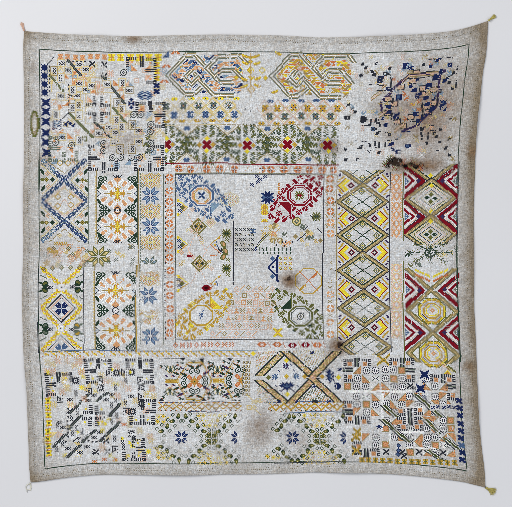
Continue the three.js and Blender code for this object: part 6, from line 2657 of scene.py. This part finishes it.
def add_lamp(name, place, aim, size, power, colour):
    data = bpy.data.lights.new(name, "AREA")
    data.shape = "SQUARE"
    data.size = size
    data.energy = power
    data.color = colour
    lamp = bpy.data.objects.new(name, data)
    lamp.location = place
    lamp.rotation_euler = (Vector(aim) - Vector(place)).to_track_quat("-Z", "Y").to_euler()
    bpy.context.scene.collection.objects.link(lamp)


def make_studio(context):
    bpy.ops.object.select_all(action="DESELECT")
    bpy.ops.mesh.primitive_plane_add(size=FLOOR_SIZE, location=(0, 0, 0))
    floor = context.object
    floor.name = "floor"
    floor.data.materials.append(floor_material())
    middle_x, middle_y = table_place(GRID_ACROSS / 2, GRID_DOWN / 2)
    aim = (middle_x + OFFSET_X, middle_y + OFFSET_Y, 0.0)
    for name, place, size, power, colour in LAMPS:
        add_lamp(name, place, aim, size, power, colour)
    world = bpy.data.worlds.new("studio_air")
    world.use_nodes = True
    background = world.node_tree.nodes["Background"]
    background.inputs["Color"].default_value = AIR_COLOUR
    background.inputs["Strength"].default_value = AIR_STRENGTH
    context.scene.world = world
    data = bpy.data.cameras.new("camera")
    data.sensor_width = SENSOR_WIDTH
    width = GRID_ACROSS * STITCH
    data.lens = data.sensor_width * (CAMERA_HEIGHT - GROUND_THICKNESS) / width
    camera = bpy.data.objects.new("camera", data)
    camera.location = (*aim[:2], CAMERA_HEIGHT)
    context.scene.collection.objects.link(camera)
    context.scene.camera = camera
    context.scene.view_settings.view_transform = "Standard"
    # The silk's stitches are as small as the picture's dots: neither the filter nor the
    # denoiser may smooth them away.
    context.scene.cycles.filter_width = 0.5
    context.scene.cycles.denoising_prefilter = "NONE"


# The add-on

PIECE_STEPS = (
    "linen", "frame_line", "north_west", "west_columns", "top", "centre",
    "east_columns", "south", "north_east", "hem_stitches", "tassels", "loop", "studio",
)


class SAMPLER_PT_panel(bpy.types.Panel):
    """The sampler's pieces, sizes and colours"""

    bl_idname = "SAMPLER_PT_panel"
    bl_label = "Sampler"
    bl_space_type = "VIEW_3D"
    bl_region_type = "UI"
    bl_category = "Sampler"

    def draw(self, context):
        for step in PIECE_STEPS:
            self.layout.operator(f"sampler.{step}")
        for group in (context.scene.sampler_sizes, context.scene.sampler_colours):
            box = self.layout.box()
            for name in group.bl_rna.properties.keys():
                if name not in ("rna_type", "name"):
                    box.prop(group, name)


CLASSES = (
    SamplerSizes, SamplerColours, SAMPLER_OT_linen, SAMPLER_OT_frame_line, SAMPLER_OT_north_west,
    SAMPLER_OT_west_columns, SAMPLER_OT_top, SAMPLER_OT_centre, SAMPLER_OT_east_columns,
    SAMPLER_OT_south, SAMPLER_OT_north_east, SAMPLER_OT_hem_stitches, SAMPLER_OT_tassels,
    SAMPLER_OT_loop, SAMPLER_OT_studio, SAMPLER_PT_panel,
)


def register():
    for cls in CLASSES:
        bpy.utils.register_class(cls)
    bpy.types.Scene.sampler_sizes = PointerProperty(type=SamplerSizes)
    bpy.types.Scene.sampler_colours = PointerProperty(type=SamplerColours)


def unregister():
    del bpy.types.Scene.sampler_colours
    del bpy.types.Scene.sampler_sizes
    for cls in reversed(CLASSES):
        bpy.utils.unregister_class(cls)


def main():
    """Makes every piece."""
    register()
    for step in PIECE_STEPS:
        getattr(bpy.ops.sampler, step)()


if __name__ == "__main__":
    main()
